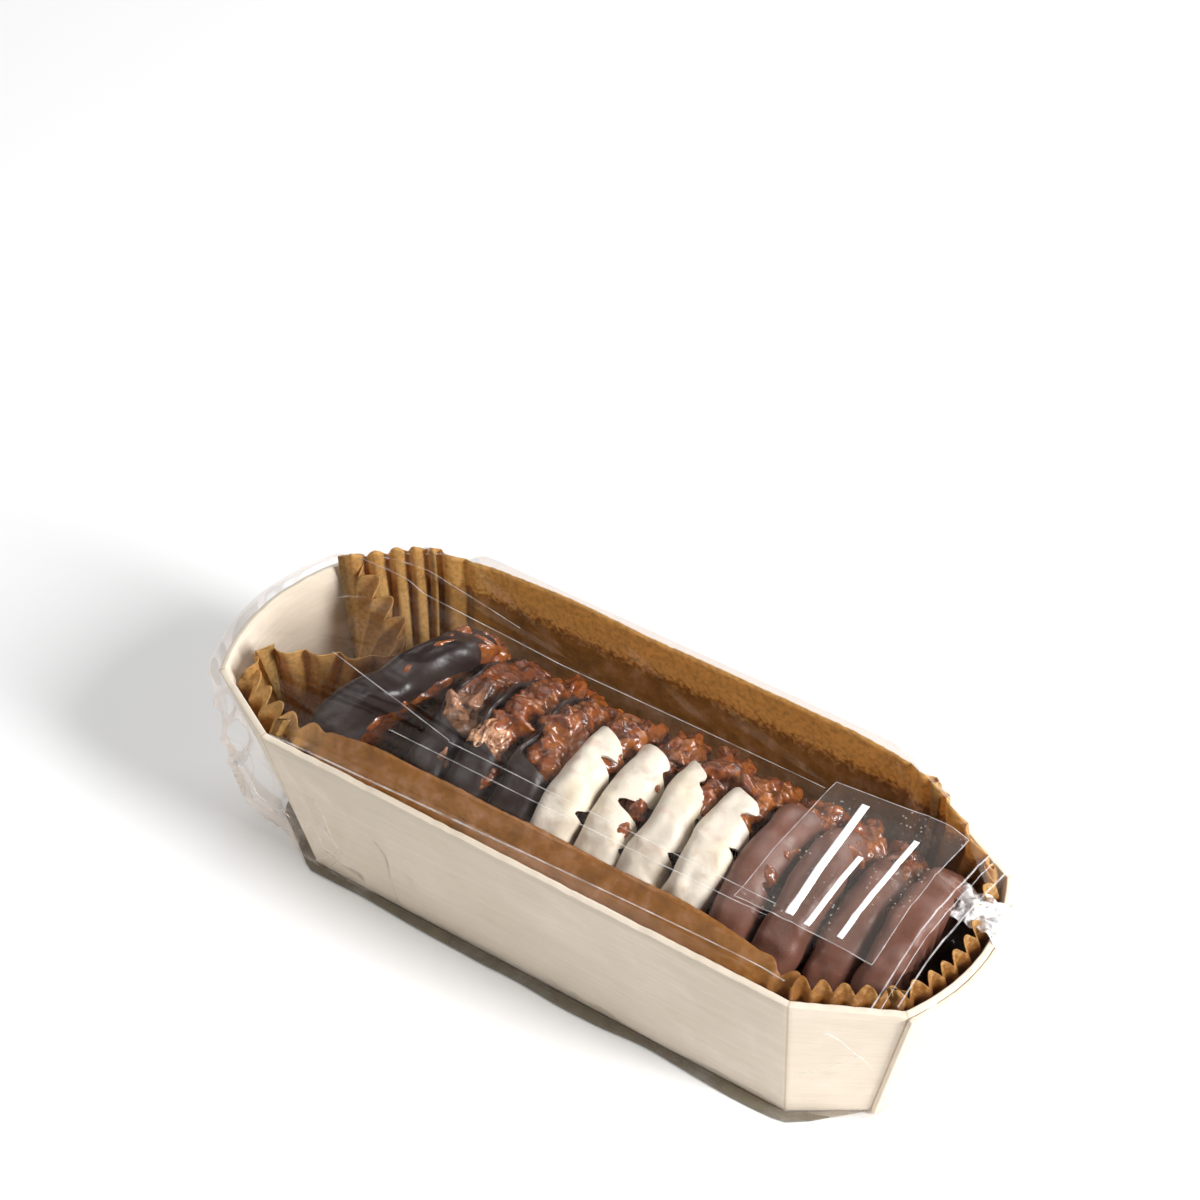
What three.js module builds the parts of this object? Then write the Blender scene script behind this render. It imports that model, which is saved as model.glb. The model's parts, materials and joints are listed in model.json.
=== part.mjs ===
// A sealed gift pack of chocolate florentines: a bent-veneer baking tray with a fluted paper liner,
// twelve half-dipped florentines standing in a row, a clear film wrap and a clear label on the film.
// Millimetres, +Z up, X along the tray, Y across it, Z = 0 under the film that the pack rests on.

import * as THREE from 'three';
import { ConvexGeometry } from 'three/addons/geometries/ConvexGeometry.js';

// ---- driving dimensions -------------------------------------------------------------------------

const TRAY_HEIGHT = 50;
const TRAY_BOTTOM = 0.8;
const VENEER = 1.6;
const OVERLAP_PLY = 1.5;
const BOARD_THICKNESS = 1.8;
const GAP = 0.4;

// Plan outlines are octagons with bowed ends. corner is where a long side or an end panel meets the
// slanted corner panel; bow is how far the end panel's middle stands out past its corners.
const TRAY_RIM = { cornerX: 94.5, bow: 6, sideX: 72, halfWidth: 35.4, cornerY: 23.7 };
const TRAY_FOOT = { cornerX: 83.5, bow: 3, sideX: 67.6, halfWidth: 25.8, cornerY: 14.8 };
const FILM_RIM = { cornerX: 97.3, bow: 6, sideX: 72.8, halfWidth: 36.5, cornerY: 24.4 };
const FILM_FOOT = { cornerX: 86.1, bow: 3, sideX: 68.4, halfWidth: 26.9, cornerY: 15.5 };

const LINER_THICKNESS = 0.5;
const FLUTE_PITCH = 8.5;
const FLUTE_DEPTH = 2.6;
const FLUTED_SHARE = 0.2;
const LINER_BACK_TOP = 63.5;
const LINER_CORNER_TOP = 60.5;
const LINER_END_TOP = 53;
const LINER_FRONT_TOP = 56;
const FLAP_LEAN = 6.5;
const NOTCH_DEPTH = 27;
const NOTCH_TOP = 48;

const FLORENTINE_RADIUS = 28.6;
const FLORENTINE_THICKNESS = 10.2;
const FLORENTINE_PITCH = 11.93;
const FLORENTINE_LEAN = THREE.MathUtils.degToRad(7);
const SECOND_FLORENTINE_X = -37.4;
const FIRST_FLORENTINE_X = -49.2;
// The first florentine bends back against the tray's end: where across it that starts, how far it goes.
const BEND_START = 8;
const BEND_ROUNDING = 3;
const FIRST_FLORENTINE_BEND = 0.53;
const FLORENTINES_PER_COAT = 4;
const NARROW_END_RADII = [25.8, 21.4];
const WEDGED_LIFT = 13.3;

const FILM_THICKNESS = 0.4;
const FILM_CLEARANCE = 1.4;
const FILM_SLOT = { lengthScale: 0.55, widthScale: 0.03 };
const FILM_EAR = 5;

const LABEL_CENTRE = { x: 68.5, y: -4 };
const LABEL_LENGTH = 33.5;
const LABEL_WIDTH = 37;
const LABEL_THICKNESS = 0.3;
const LABEL_LIFT = 0.5;

// ---- finishes -----------------------------------------------------------------------------------

const FINISHES = {
  veneer: { color: 0xe6d9c3, roughness: 0.75, metalness: 0 },
  liner: { color: 0x9c6a30, roughness: 0.8, metalness: 0 },
  dark: { color: 0x33211f, roughness: 0.35, metalness: 0 },
  white: { color: 0xf1e9d6, roughness: 0.4, metalness: 0 },
  milk: { color: 0x6b4338, roughness: 0.35, metalness: 0 },
  film: { color: 0xe9edf0, roughness: 0.1, metalness: 0, transparent: true, opacity: 0.2 },
  label: { color: 0xf4f4f2, roughness: 0.25, metalness: 0, transparent: true, opacity: 0.35 },
};

function namedMesh(name, geometry, finish) {
  const mesh = new THREE.Mesh(geometry, new THREE.MeshStandardMaterial(FINISHES[finish]));
  mesh.name = name;
  return mesh;
}

// ---- plan outlines ------------------------------------------------------------------------------

function mixOutlines(low, high, fraction) {
  const mixed = {};
  for (const key of Object.keys(low)) {
    mixed[key] = THREE.MathUtils.lerp(low[key], high[key], fraction);
  }
  return mixed;
}

function scaleOutline(outline, factor) {
  const scaled = {};
  for (const key of Object.keys(outline)) {
    scaled[key] = outline[key] * factor;
  }
  return scaled;
}

function trayOutline(z) {
  return mixOutlines(TRAY_FOOT, TRAY_RIM, (z - TRAY_BOTTOM) / TRAY_HEIGHT);
}

// Steps walks once round the outline, anticlockwise from the front left. Every loop made with the same
// counts has matching points, whatever its size. run is the distance walked and panel the panel's name.
function outlineLoop(outline, counts) {
  const { cornerX, bow, sideX, halfWidth, cornerY } = outline;
  const inner = sideX * (1 - FLUTED_SHARE);
  const stops = [
    ['front', -sideX, -halfWidth, counts.sideEnd],
    ['front', -inner, -halfWidth, counts.side],
    ['front', inner, -halfWidth, counts.sideEnd],
    ['front_right', sideX, -halfWidth, counts.corner],
    ['right', cornerX, -cornerY, counts.end],
    ['back_right', cornerX, cornerY, counts.corner],
    ['back', sideX, halfWidth, counts.sideEnd],
    ['back', inner, halfWidth, counts.side],
    ['back', -inner, halfWidth, counts.sideEnd],
    ['back_left', -sideX, halfWidth, counts.corner],
    ['left', -cornerX, cornerY, counts.end],
    ['front_left', -cornerX, -cornerY, counts.corner],
  ];
  const loop = [];
  let run = 0;
  stops.forEach(([panel, x, y, count], index) => {
    const [, nextX, nextY] = stops[(index + 1) % stops.length];
    for (let step = 0; step < count; step += 1) {
      const along = step / count;
      const point = { panel, along, x: THREE.MathUtils.lerp(x, nextX, along) };
      point.y = THREE.MathUtils.lerp(y, nextY, along);
      if (panel === 'right' || panel === 'left') {
        point.x += Math.sign(point.x) * bow * (1 - (point.y / cornerY) ** 2);
      }
      point.run = run + along * Math.hypot(nextX - x, nextY - y);
      loop.push(point);
    }
    run += Math.hypot(nextX - x, nextY - y);
  });
  return loop;
}

// Moves each point of a closed loop square to it: inwards by distance, or outwards if that is negative.
function insetLoop(loop, distance) {
  return loop.map((point, index) => {
    const before = loop[(index + loop.length - 1) % loop.length];
    const after = loop[(index + 1) % loop.length];
    const first = edgeNormal(before, point);
    const second = edgeNormal(point, after);
    const spread = 1 + first.x * second.x + first.y * second.y;
    const amount = typeof distance === 'function' ? distance(point, index) : distance;
    const moved = { ...point };
    moved.x += ((first.x + second.x) / spread) * amount;
    moved.y += ((first.y + second.y) / spread) * amount;
    return moved;
  });
}

function edgeNormal(start, end) {
  const length = Math.hypot(end.x - start.x, end.y - start.y);
  return { x: -(end.y - start.y) / length, y: (end.x - start.x) / length };
}

function atHeight(loop, height) {
  return loop.map((point) => {
    const z = typeof height === 'function' ? height(point) : height;
    return new THREE.Vector3(point.x, point.y, z);
  });
}

// ---- closed surfaces from loops -----------------------------------------------------------------

// Joins loops of equal length into one closed surface. Where start and end are points the surface is
// capped there; without them the last loop joins the first. Loops are given so that the outside is on
// the right of an anticlockwise walk as the loops go up.
function loopSurface(loops, start, end) {
  const count = loops[0].length;
  const positions = loops.flat().flatMap((point) => [point.x, point.y, point.z]);
  const faces = [];
  const strips = start ? loops.length - 1 : loops.length;
  for (let ring = 0; ring < strips; ring += 1) {
    const lower = ring * count;
    const upper = ((ring + 1) % loops.length) * count;
    for (let index = 0; index < count; index += 1) {
      const next = (index + 1) % count;
      faces.push(lower + index, lower + next, upper + next);
      faces.push(lower + index, upper + next, upper + index);
    }
  }
  if (start) {
    const first = positions.length / 3;
    const top = (loops.length - 1) * count;
    positions.push(start.x, start.y, start.z, end.x, end.y, end.z);
    for (let index = 0; index < count; index += 1) {
      const next = (index + 1) % count;
      faces.push(first, next, index);
      faces.push(first + 1, top + index, top + next);
    }
  }
  const geometry = new THREE.BufferGeometry();
  geometry.setAttribute('position', new THREE.Float32BufferAttribute(positions, 3));
  geometry.setIndex(faces);
  geometry.computeVertexNormals();
  return geometry;
}

// ---- veneer tray --------------------------------------------------------------------------------

const TRAY_COUNTS = { side: 1, sideEnd: 1, corner: 3, end: 8 };
const WALL_LEVELS = 4;

// The veneer strip is one piece: it overlaps itself on the right end panel, which is two plies thick.
function trayWall() {
  const overlap = (point) => (point.panel === 'right' && point.along > 0 ? -OVERLAP_PLY : 0);
  const outside = [];
  const inside = [];
  for (let level = 0; level < WALL_LEVELS; level += 1) {
    const z = TRAY_BOTTOM + (TRAY_HEIGHT * level) / (WALL_LEVELS - 1);
    const loop = outlineLoop(trayOutline(z), TRAY_COUNTS);
    outside.push(atHeight(insetLoop(loop, overlap), z));
    inside.unshift(atHeight(insetLoop(loop, VENEER), z));
  }
  return loopSurface([...outside, ...inside]);
}

function trayBoard() {
  const edge = insetLoop(outlineLoop(trayOutline(TRAY_BOTTOM), TRAY_COUNTS), VENEER + GAP);
  const top = TRAY_BOTTOM + BOARD_THICKNESS;
  return loopSurface(
    [atHeight(edge, TRAY_BOTTOM), atHeight(edge, top)],
    new THREE.Vector3(0, 0, TRAY_BOTTOM),
    new THREE.Vector3(0, 0, top),
  );
}

// ---- paper liner --------------------------------------------------------------------------------

const LINER_COUNTS = { side: 10, sideEnd: 7, corner: 12, end: 24 };
const LINER_BOTTOM = TRAY_BOTTOM + BOARD_THICKNESS + GAP;
const LINER_SHOULDER = TRAY_BOTTOM + TRAY_HEIGHT - 2;

// How strongly the paper is fluted: fully on the ends and corners, fading out along the long sides.
function fluteStrength(point) {
  if (point.panel !== 'front' && point.panel !== 'back') {
    return 1;
  }
  const plainHalf = TRAY_RIM.sideX * (1 - FLUTED_SHARE);
  return THREE.MathUtils.smoothstep(Math.abs(point.x), plainHalf, TRAY_RIM.sideX);
}

function fluteInset(point, depth) {
  const wave = 0.5 - 0.5 * Math.cos((2 * Math.PI * point.run) / FLUTE_PITCH);
  return depth * wave * fluteStrength(point);
}

// The left end of the liner has caved in to a V, whose tip lies a little behind the middle.
function notchInset(point, fraction) {
  if (point.panel !== 'left') {
    return 0;
  }
  const tip = 0.42;
  const reach = point.along < tip ? point.along / tip : (1 - point.along) / (1 - tip);
  return NOTCH_DEPTH * reach ** 0.85 * fraction;
}

function linerTop(point) {
  const { panel, along } = point;
  const blend = THREE.MathUtils.smoothstep(along, 0, 1);
  const corners = {
    front_right: [LINER_FRONT_TOP - 2, LINER_END_TOP],
    back_right: [LINER_END_TOP + 2, LINER_CORNER_TOP],
    back_left: [LINER_CORNER_TOP, LINER_END_TOP],
    front_left: [LINER_END_TOP - 2, LINER_END_TOP],
  };
  if (corners[panel]) {
    return THREE.MathUtils.lerp(corners[panel][0], corners[panel][1], blend);
  }
  const middle = 1 - THREE.MathUtils.smoothstep(Math.abs(point.x), 40, TRAY_RIM.sideX);
  if (panel === 'back') {
    return THREE.MathUtils.lerp(LINER_CORNER_TOP, LINER_BACK_TOP, middle);
  }
  if (panel === 'front') {
    return LINER_END_TOP + (LINER_FRONT_TOP - LINER_END_TOP) * middle;
  }
  if (panel === 'left') {
    const dip = Math.sin(Math.PI * along);
    return THREE.MathUtils.lerp(LINER_END_TOP, NOTCH_TOP, dip);
  }
  return LINER_END_TOP + 2 * blend;
}

// Above the rim the paper leans over the florentines: most along the front, hardly at all at the back.
function linerLean(point) {
  if (point.panel === 'front') {
    return THREE.MathUtils.lerp(FLAP_LEAN * 0.6, FLAP_LEAN, 1 - fluteStrength(point));
  }
  const leans = { front_left: 3, front_right: 3, right: 2.2, back_right: 1.5, back: 0.6, back_left: 1.5 };
  return leans[point.panel] ?? 1.5;
}

function linerLoop(z, depth, notch, lean) {
  const outline = outlineLoop(trayOutline(z), LINER_COUNTS);
  const shaped = (point) => {
    const folds = fluteInset(point, depth) + notchInset(point, notch);
    return VENEER + GAP + folds + lean * linerLean(point);
  };
  return insetLoop(outline, shaped);
}

function paperLiner() {
  const levels = [
    { z: LINER_BOTTOM, depth: 0.2, notch: 0, lean: 0 },
    { z: LINER_BOTTOM + 20, depth: FLUTE_DEPTH * 0.5, notch: 0.3, lean: 0 },
    { z: LINER_SHOULDER, depth: FLUTE_DEPTH, notch: 0.9, lean: 0.05 },
  ];
  const outer = levels.map(({ z, depth, notch, lean }) => {
    const height = (point) => (point.panel === 'left' ? Math.min(z, linerTop(point) - 4) : z);
    return { loop: linerLoop(z, depth, notch, lean), height };
  });
  outer.push({ loop: linerLoop(LINER_SHOULDER, FLUTE_DEPTH, 1, 1), height: linerTop });
  const floorLift = LINER_THICKNESS;
  const outside = outer.map(({ loop, height }) => atHeight(loop, height));
  const inside = outer.map(({ loop, height }, index) => {
    const lift = index === 0 ? floorLift : 0;
    return atHeight(insetLoop(loop, LINER_THICKNESS), (point) => lift + heightOf(height, point));
  });
  return loopSurface(
    [...outside, ...inside.reverse()],
    new THREE.Vector3(0, 0, LINER_BOTTOM),
    new THREE.Vector3(0, 0, LINER_BOTTOM + floorLift),
  );
}

function heightOf(height, point) {
  return typeof height === 'function' ? height(point) : height;
}

// ---- florentines --------------------------------------------------------------------------------

const FLORENTINE_SIDES = 20;

// A disc with its axis along X: a smooth dipped base on the -X side and a nutty, uneven +X side.
const FLORENTINE_PROFILE = [
  { reach: 0.55, x: -0.5, rough: 0.1 },
  { reach: 0.92, x: -0.46, rough: 0.1 },
  { reach: 1, x: -0.24, rough: 0.1 },
  { reach: 0.985, x: 0.2, rough: 0.5 },
  { reach: 0.87, x: 0.42, rough: 0.7 },
  { reach: 0.48, x: 0.43, rough: 1 },
];
const OUTLINE_WAVE = 0.025;
const NUT_RELIEF = 0.7;

function florentine(radius, seed, slope) {
  const loops = FLORENTINE_PROFILE.map(({ reach, x, rough }) => {
    const loop = [];
    for (let side = 0; side < FLORENTINE_SIDES; side += 1) {
      const angle = (2 * Math.PI * side) / FLORENTINE_SIDES;
      const wave = Math.sin(3 * angle + seed) + 0.6 * Math.sin(5 * angle + 2.3 * seed);
      const distance = radius * reach * (1 - OUTLINE_WAVE * (1.6 - wave) * 0.5);
      const y = distance * Math.cos(angle);
      const z = distance * Math.sin(angle);
      const relief = Math.sin(7 * angle + 3.1 * seed) * NUT_RELIEF * rough;
      loop.push(new THREE.Vector3(x * FLORENTINE_THICKNESS + relief * 0.5 - bentBack(y, slope), y, z));
    }
    return loop;
  });
  return loopSurface(
    loops,
    new THREE.Vector3(-0.5 * FLORENTINE_THICKNESS, 0, 0),
    new THREE.Vector3(0.45 * FLORENTINE_THICKNESS, 0, 0),
  );
}

function bentBack(y, slope) {
  return slope * (Math.hypot(Math.min(y - BEND_START, 0), BEND_ROUNDING) - BEND_ROUNDING);
}

// The row leans towards the right end like books on a shelf. The last two are smaller, to fit between
// the slanted corner panels, and the last is held up by them.
function florentineRow() {
  const row = new THREE.Group();
  const standing = LINER_BOTTOM + LINER_THICKNESS + GAP;
  const count = 3 * FLORENTINES_PER_COAT;
  ['dark', 'white', 'milk'].forEach((coat, coatIndex) => {
    for (let item = 0; item < FLORENTINES_PER_COAT; item += 1) {
      const place = coatIndex * FLORENTINES_PER_COAT + item;
      const slope = place === 0 ? FIRST_FLORENTINE_BEND : 0;
      const radius = NARROW_END_RADII[place - count + 2] ?? FLORENTINE_RADIUS;
      const lift = place === count - 1 ? WEDGED_LIFT : 0;
      const disc = namedMesh(`florentine_${coat}_${item + 1}`, florentine(radius, place * 1.37, slope), coat);
      const rowX = SECOND_FLORENTINE_X + (place - 1) * FLORENTINE_PITCH;
      disc.position.set(place === 0 ? FIRST_FLORENTINE_X : rowX, 0, standing + radius + lift);
      disc.rotation.y = FLORENTINE_LEAN;
      row.add(disc);
    }
  });
  return row;
}

// ---- clear film ---------------------------------------------------------------------------------

const FILM_COUNTS = { side: 8, sideEnd: 2, corner: 4, end: 8 };
const FILM_CAP_STEPS = [0.98, 0.94, 0.9, 0.8, 0.65, 0.5, 0.34, 0.16];

// Every corner of the meshes, moved out and up by the film's clearance.
function clearedPoints(meshes) {
  const points = [];
  for (const mesh of meshes) {
    mesh.updateWorldMatrix(true, false);
    const position = mesh.geometry.getAttribute('position');
    for (let index = 0; index < position.count; index += 1) {
      const point = new THREE.Vector3().fromBufferAttribute(position, index).applyMatrix4(mesh.matrixWorld);
      point.x += Math.sign(point.x) * FILM_CLEARANCE;
      point.y += Math.sign(point.y) * FILM_CLEARANCE;
      point.z += FILM_CLEARANCE;
      points.push(point);
    }
  }
  return points;
}

// Finds how high a surface stands above a place in plan.
function heightProbe(geometry) {
  const surface = new THREE.Mesh(geometry, new THREE.MeshBasicMaterial({ side: THREE.DoubleSide }));
  const probe = new THREE.Raycaster();
  const down = new THREE.Vector3(0, 0, -1);
  return (x, y) => {
    probe.set(new THREE.Vector3(x, y, 2 * TRAY_HEIGHT), down);
    return probe.intersectObject(surface)[0].point.z;
  };
}

function earInset(point) {
  const atCorner = point.panel === 'front_left' || point.panel === 'left';
  return atCorner ? -FILM_EAR * Math.sin(Math.PI * point.along) * (point.panel === 'left' ? 0.3 : 1) : 0;
}

// The film is drawn tight from the tray's rim over the highest points of what it covers.
function filmWrap(contents) {
  const rimZ = TRAY_BOTTOM + TRAY_HEIGHT + GAP + FILM_THICKNESS;
  const foot = outlineLoop(FILM_FOOT, FILM_COUNTS);
  const slot = foot.map((point) => ({
    ...point,
    x: point.x * FILM_SLOT.lengthScale,
    y: point.y * FILM_SLOT.widthScale,
  }));
  const waist = insetLoop(outlineLoop(mixOutlines(FILM_FOOT, FILM_RIM, 0.5), FILM_COUNTS), earInset);
  const rim = outlineLoop(FILM_RIM, FILM_COUNTS);
  const cap = FILM_CAP_STEPS.map((factor) => outlineLoop(scaleOutline(FILM_RIM, factor), FILM_COUNTS));
  const tautHeight = heightProbe(new ConvexGeometry([...contents, ...atHeight(rim, rimZ)]));
  const centre = tautHeight(0, 0);
  const outer = [atHeight(slot, 0), atHeight(foot, 0), atHeight(waist, rimZ / 2), atHeight(rim, rimZ)];
  const inner = [
    atHeight(slot, FILM_THICKNESS),
    atHeight(insetLoop(foot, FILM_THICKNESS), FILM_THICKNESS),
    atHeight(insetLoop(waist, FILM_THICKNESS), rimZ / 2),
    atHeight(insetLoop(rim, FILM_THICKNESS), rimZ - FILM_THICKNESS / 4),
  ];
  for (const loop of cap) {
    const heights = loop.map((point) => tautHeight(point.x, point.y));
    outer.push(loop.map((point, index) => new THREE.Vector3(point.x, point.y, heights[index])));
    inner.push(insetLoop(loop, FILM_THICKNESS).map(
      (point, index) => new THREE.Vector3(point.x, point.y, heights[index] - FILM_THICKNESS),
    ));
  }
  return skinSurface(outer, inner, centre);
}

// The outer skin and the inner skin meet only round the slot under the tray, where the wrap's edges are.
function skinSurface(outer, inner, centreZ) {
  const count = outer[0].length;
  const loops = [...outer, ...inner];
  const positions = loops.flat().flatMap((point) => [point.x, point.y, point.z]);
  positions.push(0, 0, centreZ, 0, 0, centreZ - FILM_THICKNESS);
  const outerTip = loops.length * count;
  const innerStart = outer.length * count;
  const faces = [];
  const quad = (a, b, c, d) => faces.push(a, b, c, a, c, d);
  for (let index = 0; index < count; index += 1) {
    const next = (index + 1) % count;
    for (let ring = 0; ring < outer.length - 1; ring += 1) {
      const low = ring * count;
      const high = low + count;
      quad(low + index, low + next, high + next, high + index);
      quad(innerStart + low + next, innerStart + low + index, innerStart + high + index, innerStart + high + next);
    }
    quad(innerStart + index, innerStart + next, next, index);
    const last = (outer.length - 1) * count;
    faces.push(last + index, last + next, outerTip);
    faces.push(innerStart + last + next, innerStart + last + index, outerTip + 1);
  }
  const geometry = new THREE.BufferGeometry();
  geometry.setAttribute('position', new THREE.Float32BufferAttribute(positions, 3));
  geometry.setIndex(faces);
  geometry.computeVertexNormals();
  return geometry;
}

// ---- clear label --------------------------------------------------------------------------------

const LABEL_CELLS = 4;

function clearLabel(film) {
  const filmTop = heightProbe(film);
  const sheet = new THREE.BoxGeometry(LABEL_LENGTH, LABEL_WIDTH, LABEL_THICKNESS, LABEL_CELLS, LABEL_CELLS, 1);
  const position = sheet.getAttribute('position');
  const reach = LABEL_LENGTH / LABEL_CELLS / 2;
  for (let index = 0; index < position.count; index += 1) {
    const x = position.getX(index) + LABEL_CENTRE.x;
    const y = position.getY(index) + LABEL_CENTRE.y;
    let high = 0;
    for (const [stepX, stepY] of [[0, 0], [reach, 0], [-reach, 0], [0, reach], [0, -reach]]) {
      high = Math.max(high, filmTop(x + stepX, y + stepY));
    }
    const z = position.getZ(index) + LABEL_THICKNESS / 2 + high + LABEL_LIFT;
    position.setXYZ(index, x, y, z);
  }
  sheet.computeVertexNormals();
  return sheet;
}

// ---- the pack -----------------------------------------------------------------------------------

function florentinePack() {
  const pack = new THREE.Group();
  const liner = namedMesh('paper_liner', paperLiner(), 'liner');
  const row = florentineRow();
  row.updateMatrixWorld(true);
  const film = filmWrap(clearedPoints([liner, ...row.children]));
  pack.add(namedMesh('tray_wall', trayWall(), 'veneer'));
  pack.add(namedMesh('tray_board', trayBoard(), 'veneer'));
  pack.add(liner);
  pack.add(row);
  pack.add(namedMesh('film_wrap', film, 'film'));
  pack.add(namedMesh('clear_label', clearLabel(film), 'label'));
  return pack;
}

export default florentinePack();
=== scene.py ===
import json
import math
import random

import bmesh
import bpy
from bpy.props import FloatProperty, FloatVectorProperty, IntProperty, PointerProperty
from mathutils import Matrix, Vector, noise
from mathutils.bvhtree import BVHTree

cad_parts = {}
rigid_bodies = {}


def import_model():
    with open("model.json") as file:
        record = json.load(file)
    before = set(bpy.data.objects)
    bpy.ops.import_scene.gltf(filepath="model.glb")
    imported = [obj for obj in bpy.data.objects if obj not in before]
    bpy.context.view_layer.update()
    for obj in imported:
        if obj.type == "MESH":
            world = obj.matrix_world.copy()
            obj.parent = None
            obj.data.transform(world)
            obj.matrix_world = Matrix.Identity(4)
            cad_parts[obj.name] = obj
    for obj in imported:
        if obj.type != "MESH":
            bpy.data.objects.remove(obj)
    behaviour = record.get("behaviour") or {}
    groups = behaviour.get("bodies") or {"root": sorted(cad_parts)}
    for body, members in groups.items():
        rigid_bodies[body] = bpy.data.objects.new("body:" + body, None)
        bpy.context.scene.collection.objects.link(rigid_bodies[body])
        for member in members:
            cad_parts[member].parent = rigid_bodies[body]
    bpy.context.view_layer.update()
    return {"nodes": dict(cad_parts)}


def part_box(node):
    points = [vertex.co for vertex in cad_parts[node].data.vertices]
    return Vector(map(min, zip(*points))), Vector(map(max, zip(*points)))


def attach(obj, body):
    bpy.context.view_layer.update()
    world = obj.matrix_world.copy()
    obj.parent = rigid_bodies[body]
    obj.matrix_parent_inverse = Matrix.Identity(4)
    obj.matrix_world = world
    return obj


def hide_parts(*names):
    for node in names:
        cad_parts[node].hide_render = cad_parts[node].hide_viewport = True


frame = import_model()

bl_info = {
    "name": "Wrapped tray of florentines",
    "version": (1, 0, 0),
    "blender": (4, 5, 0),
    "location": "View3D > Sidebar > Florentines",
    "description": "Builds a clear-wrapped veneer tray of half-dipped florentines round its packed frame",
    "category": "Add Mesh",
}

# Everything below is in millimetres and is scaled to metres when a mesh is finished.
MILLIMETRE = 0.001


def node_box(name):
    """The lowest and highest corner of a frame node, in millimetres."""
    low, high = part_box(name)
    return Vector(low) / MILLIMETRE, Vector(high) / MILLIMETRE


WALL_LOW, WALL_HIGH = node_box("tray_wall")
LINER_LOW, LINER_HIGH = node_box("paper_liner")
FILM_LOW, FILM_HIGH = node_box("film_wrap")

# Plan outlines are octagons with bowed ends, at the rim and at the foot of the veneer wall.
RIM = {"corner_x": 94.5, "bow": 6.0, "side_x": 72.0, "half_width": WALL_HIGH.y, "corner_y": 23.7}
FOOT = {"corner_x": 83.5, "bow": 3.0, "side_x": 67.6, "half_width": 25.8, "corner_y": 14.8}
FILM_RIM = {"corner_x": 97.3, "bow": 6.0, "side_x": 72.8, "half_width": FILM_HIGH.y, "corner_y": 24.4}
FILM_FOOT = {"corner_x": 86.1, "bow": 3.0, "side_x": 68.4, "half_width": 26.9, "corner_y": 15.5}
PANELS = ("front", "front_right", "right", "back_right", "back", "back_left", "left", "front_left")

COATS = ("dark", "white", "milk")
PER_COAT = 4
FIRST_PLACE, FROTHY_PLACE, LAST_PLACE = 0, 1, 3 * PER_COAT - 1
LEAN = math.radians(7)
# The first florentine bends back against the tray's end: its place, where across it the bend starts,
# how gently it sets in and how steep it gets.
FIRST_PLACE_X = -49.2
BEND_START = 8.0
BEND_ROUNDING = 3.0
FIRST_BEND = 0.53


# ---- properties ---------------------------------------------------------------------------------


def length(name, description, default):
    return FloatProperty(name=name, description=description, default=default, unit="LENGTH")


def colour(name, description, default):
    return FloatVectorProperty(
        name=name, description=description, default=default, subtype="COLOR", size=3, min=0, max=1
    )


class FlorentineSizes(bpy.types.PropertyGroup):
    veneer: length("Veneer", "Thickness of the tray's bent veneer", 0.0016)
    overlap: length("Overlap ply", "Thickness of the second ply at the right end", 0.0013)
    rim_nicks: length("Rim nicks", "Depth of the nicks along the cut rim", 0.0005)
    paper: length("Paper", "Thickness of the liner's paper", 0.00022)
    flute_pitch: length("Flute pitch", "Distance from one flute of the paper to the next", 0.0072)
    flute_depth: length("Flute depth", "Depth of the flutes at the rim", 0.0034)
    scallop: length("Scallops", "How far each flute stands above the valleys beside it", 0.0024)
    coat: length("Chocolate coat", "Thickness of the chocolate coat", 0.0009)
    nut: length("Nut size", "Radius of a typical piece of chopped nut", 0.0031)
    nuts: IntProperty(name="Nuts", description="Pieces of nut in one florentine", default=74, min=0)
    voxel: length("Nut detail", "Voxel size of the nut and caramel mass", 0.0006)


class FlorentineColours(bpy.types.PropertyGroup):
    veneer: colour("Veneer", "Raw poplar veneer", (0.70, 0.62, 0.51))
    paper: colour("Paper", "Golden-brown baking paper", (0.42, 0.172, 0.027))
    dark: colour("Dark chocolate", "Dark chocolate coat", (0.016, 0.0075, 0.0065))
    white: colour("White chocolate", "White chocolate coat", (0.69, 0.62, 0.52))
    milk: colour("Milk chocolate", "Milk chocolate coat", (0.150, 0.060, 0.039))
    # Painted light: the paler gold given to the paper above the veneer's rim and at the left end, where light
    # shines through it.
    paper_painted_light: colour("Paper painted light", "Paper where it stands free above the veneer", (0.76, 0.47, 0.16))
    caramel: colour("Caramel", "Baked caramel", (0.23, 0.054, 0.010))
    pale_caramel: colour("Pale caramel", "Frothy caramel of the second florentine", (0.52, 0.25, 0.13))
    nut: colour("Nut", "Toasted nut under the caramel", (0.34, 0.102, 0.015))
    walnut: colour("Walnut", "Half walnut in the third florentine", (0.74, 0.40, 0.21))


def millimetres(value):
    return value / MILLIMETRE


# ---- plan outlines ------------------------------------------------------------------------------


def mix(a, b, share):
    return a + (b - a) * share


def clamp(value, low=0.0, high=1.0):
    return max(low, min(high, value))


def smoothstep(value, low, high):
    share = clamp((value - low) / (high - low))
    return share * share * (3 - 2 * share)


def mix_outlines(low, high, share):
    return {key: mix(low[key], high[key], share) for key in low}


def wall_outline(z):
    share = (z - WALL_LOW.z) / (WALL_HIGH.z - WALL_LOW.z)
    return mix_outlines(FOOT, RIM, share)


def corners(outline):
    """The octagon's corners, anticlockwise from the front left end of the front panel."""
    side, half = outline["side_x"], outline["half_width"]
    end, cut = outline["corner_x"], outline["corner_y"]
    return (
        (-side, -half), (side, -half), (end, -cut), (end, cut),
        (side, half), (-side, half), (-end, cut), (-end, -cut),
    )


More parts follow.
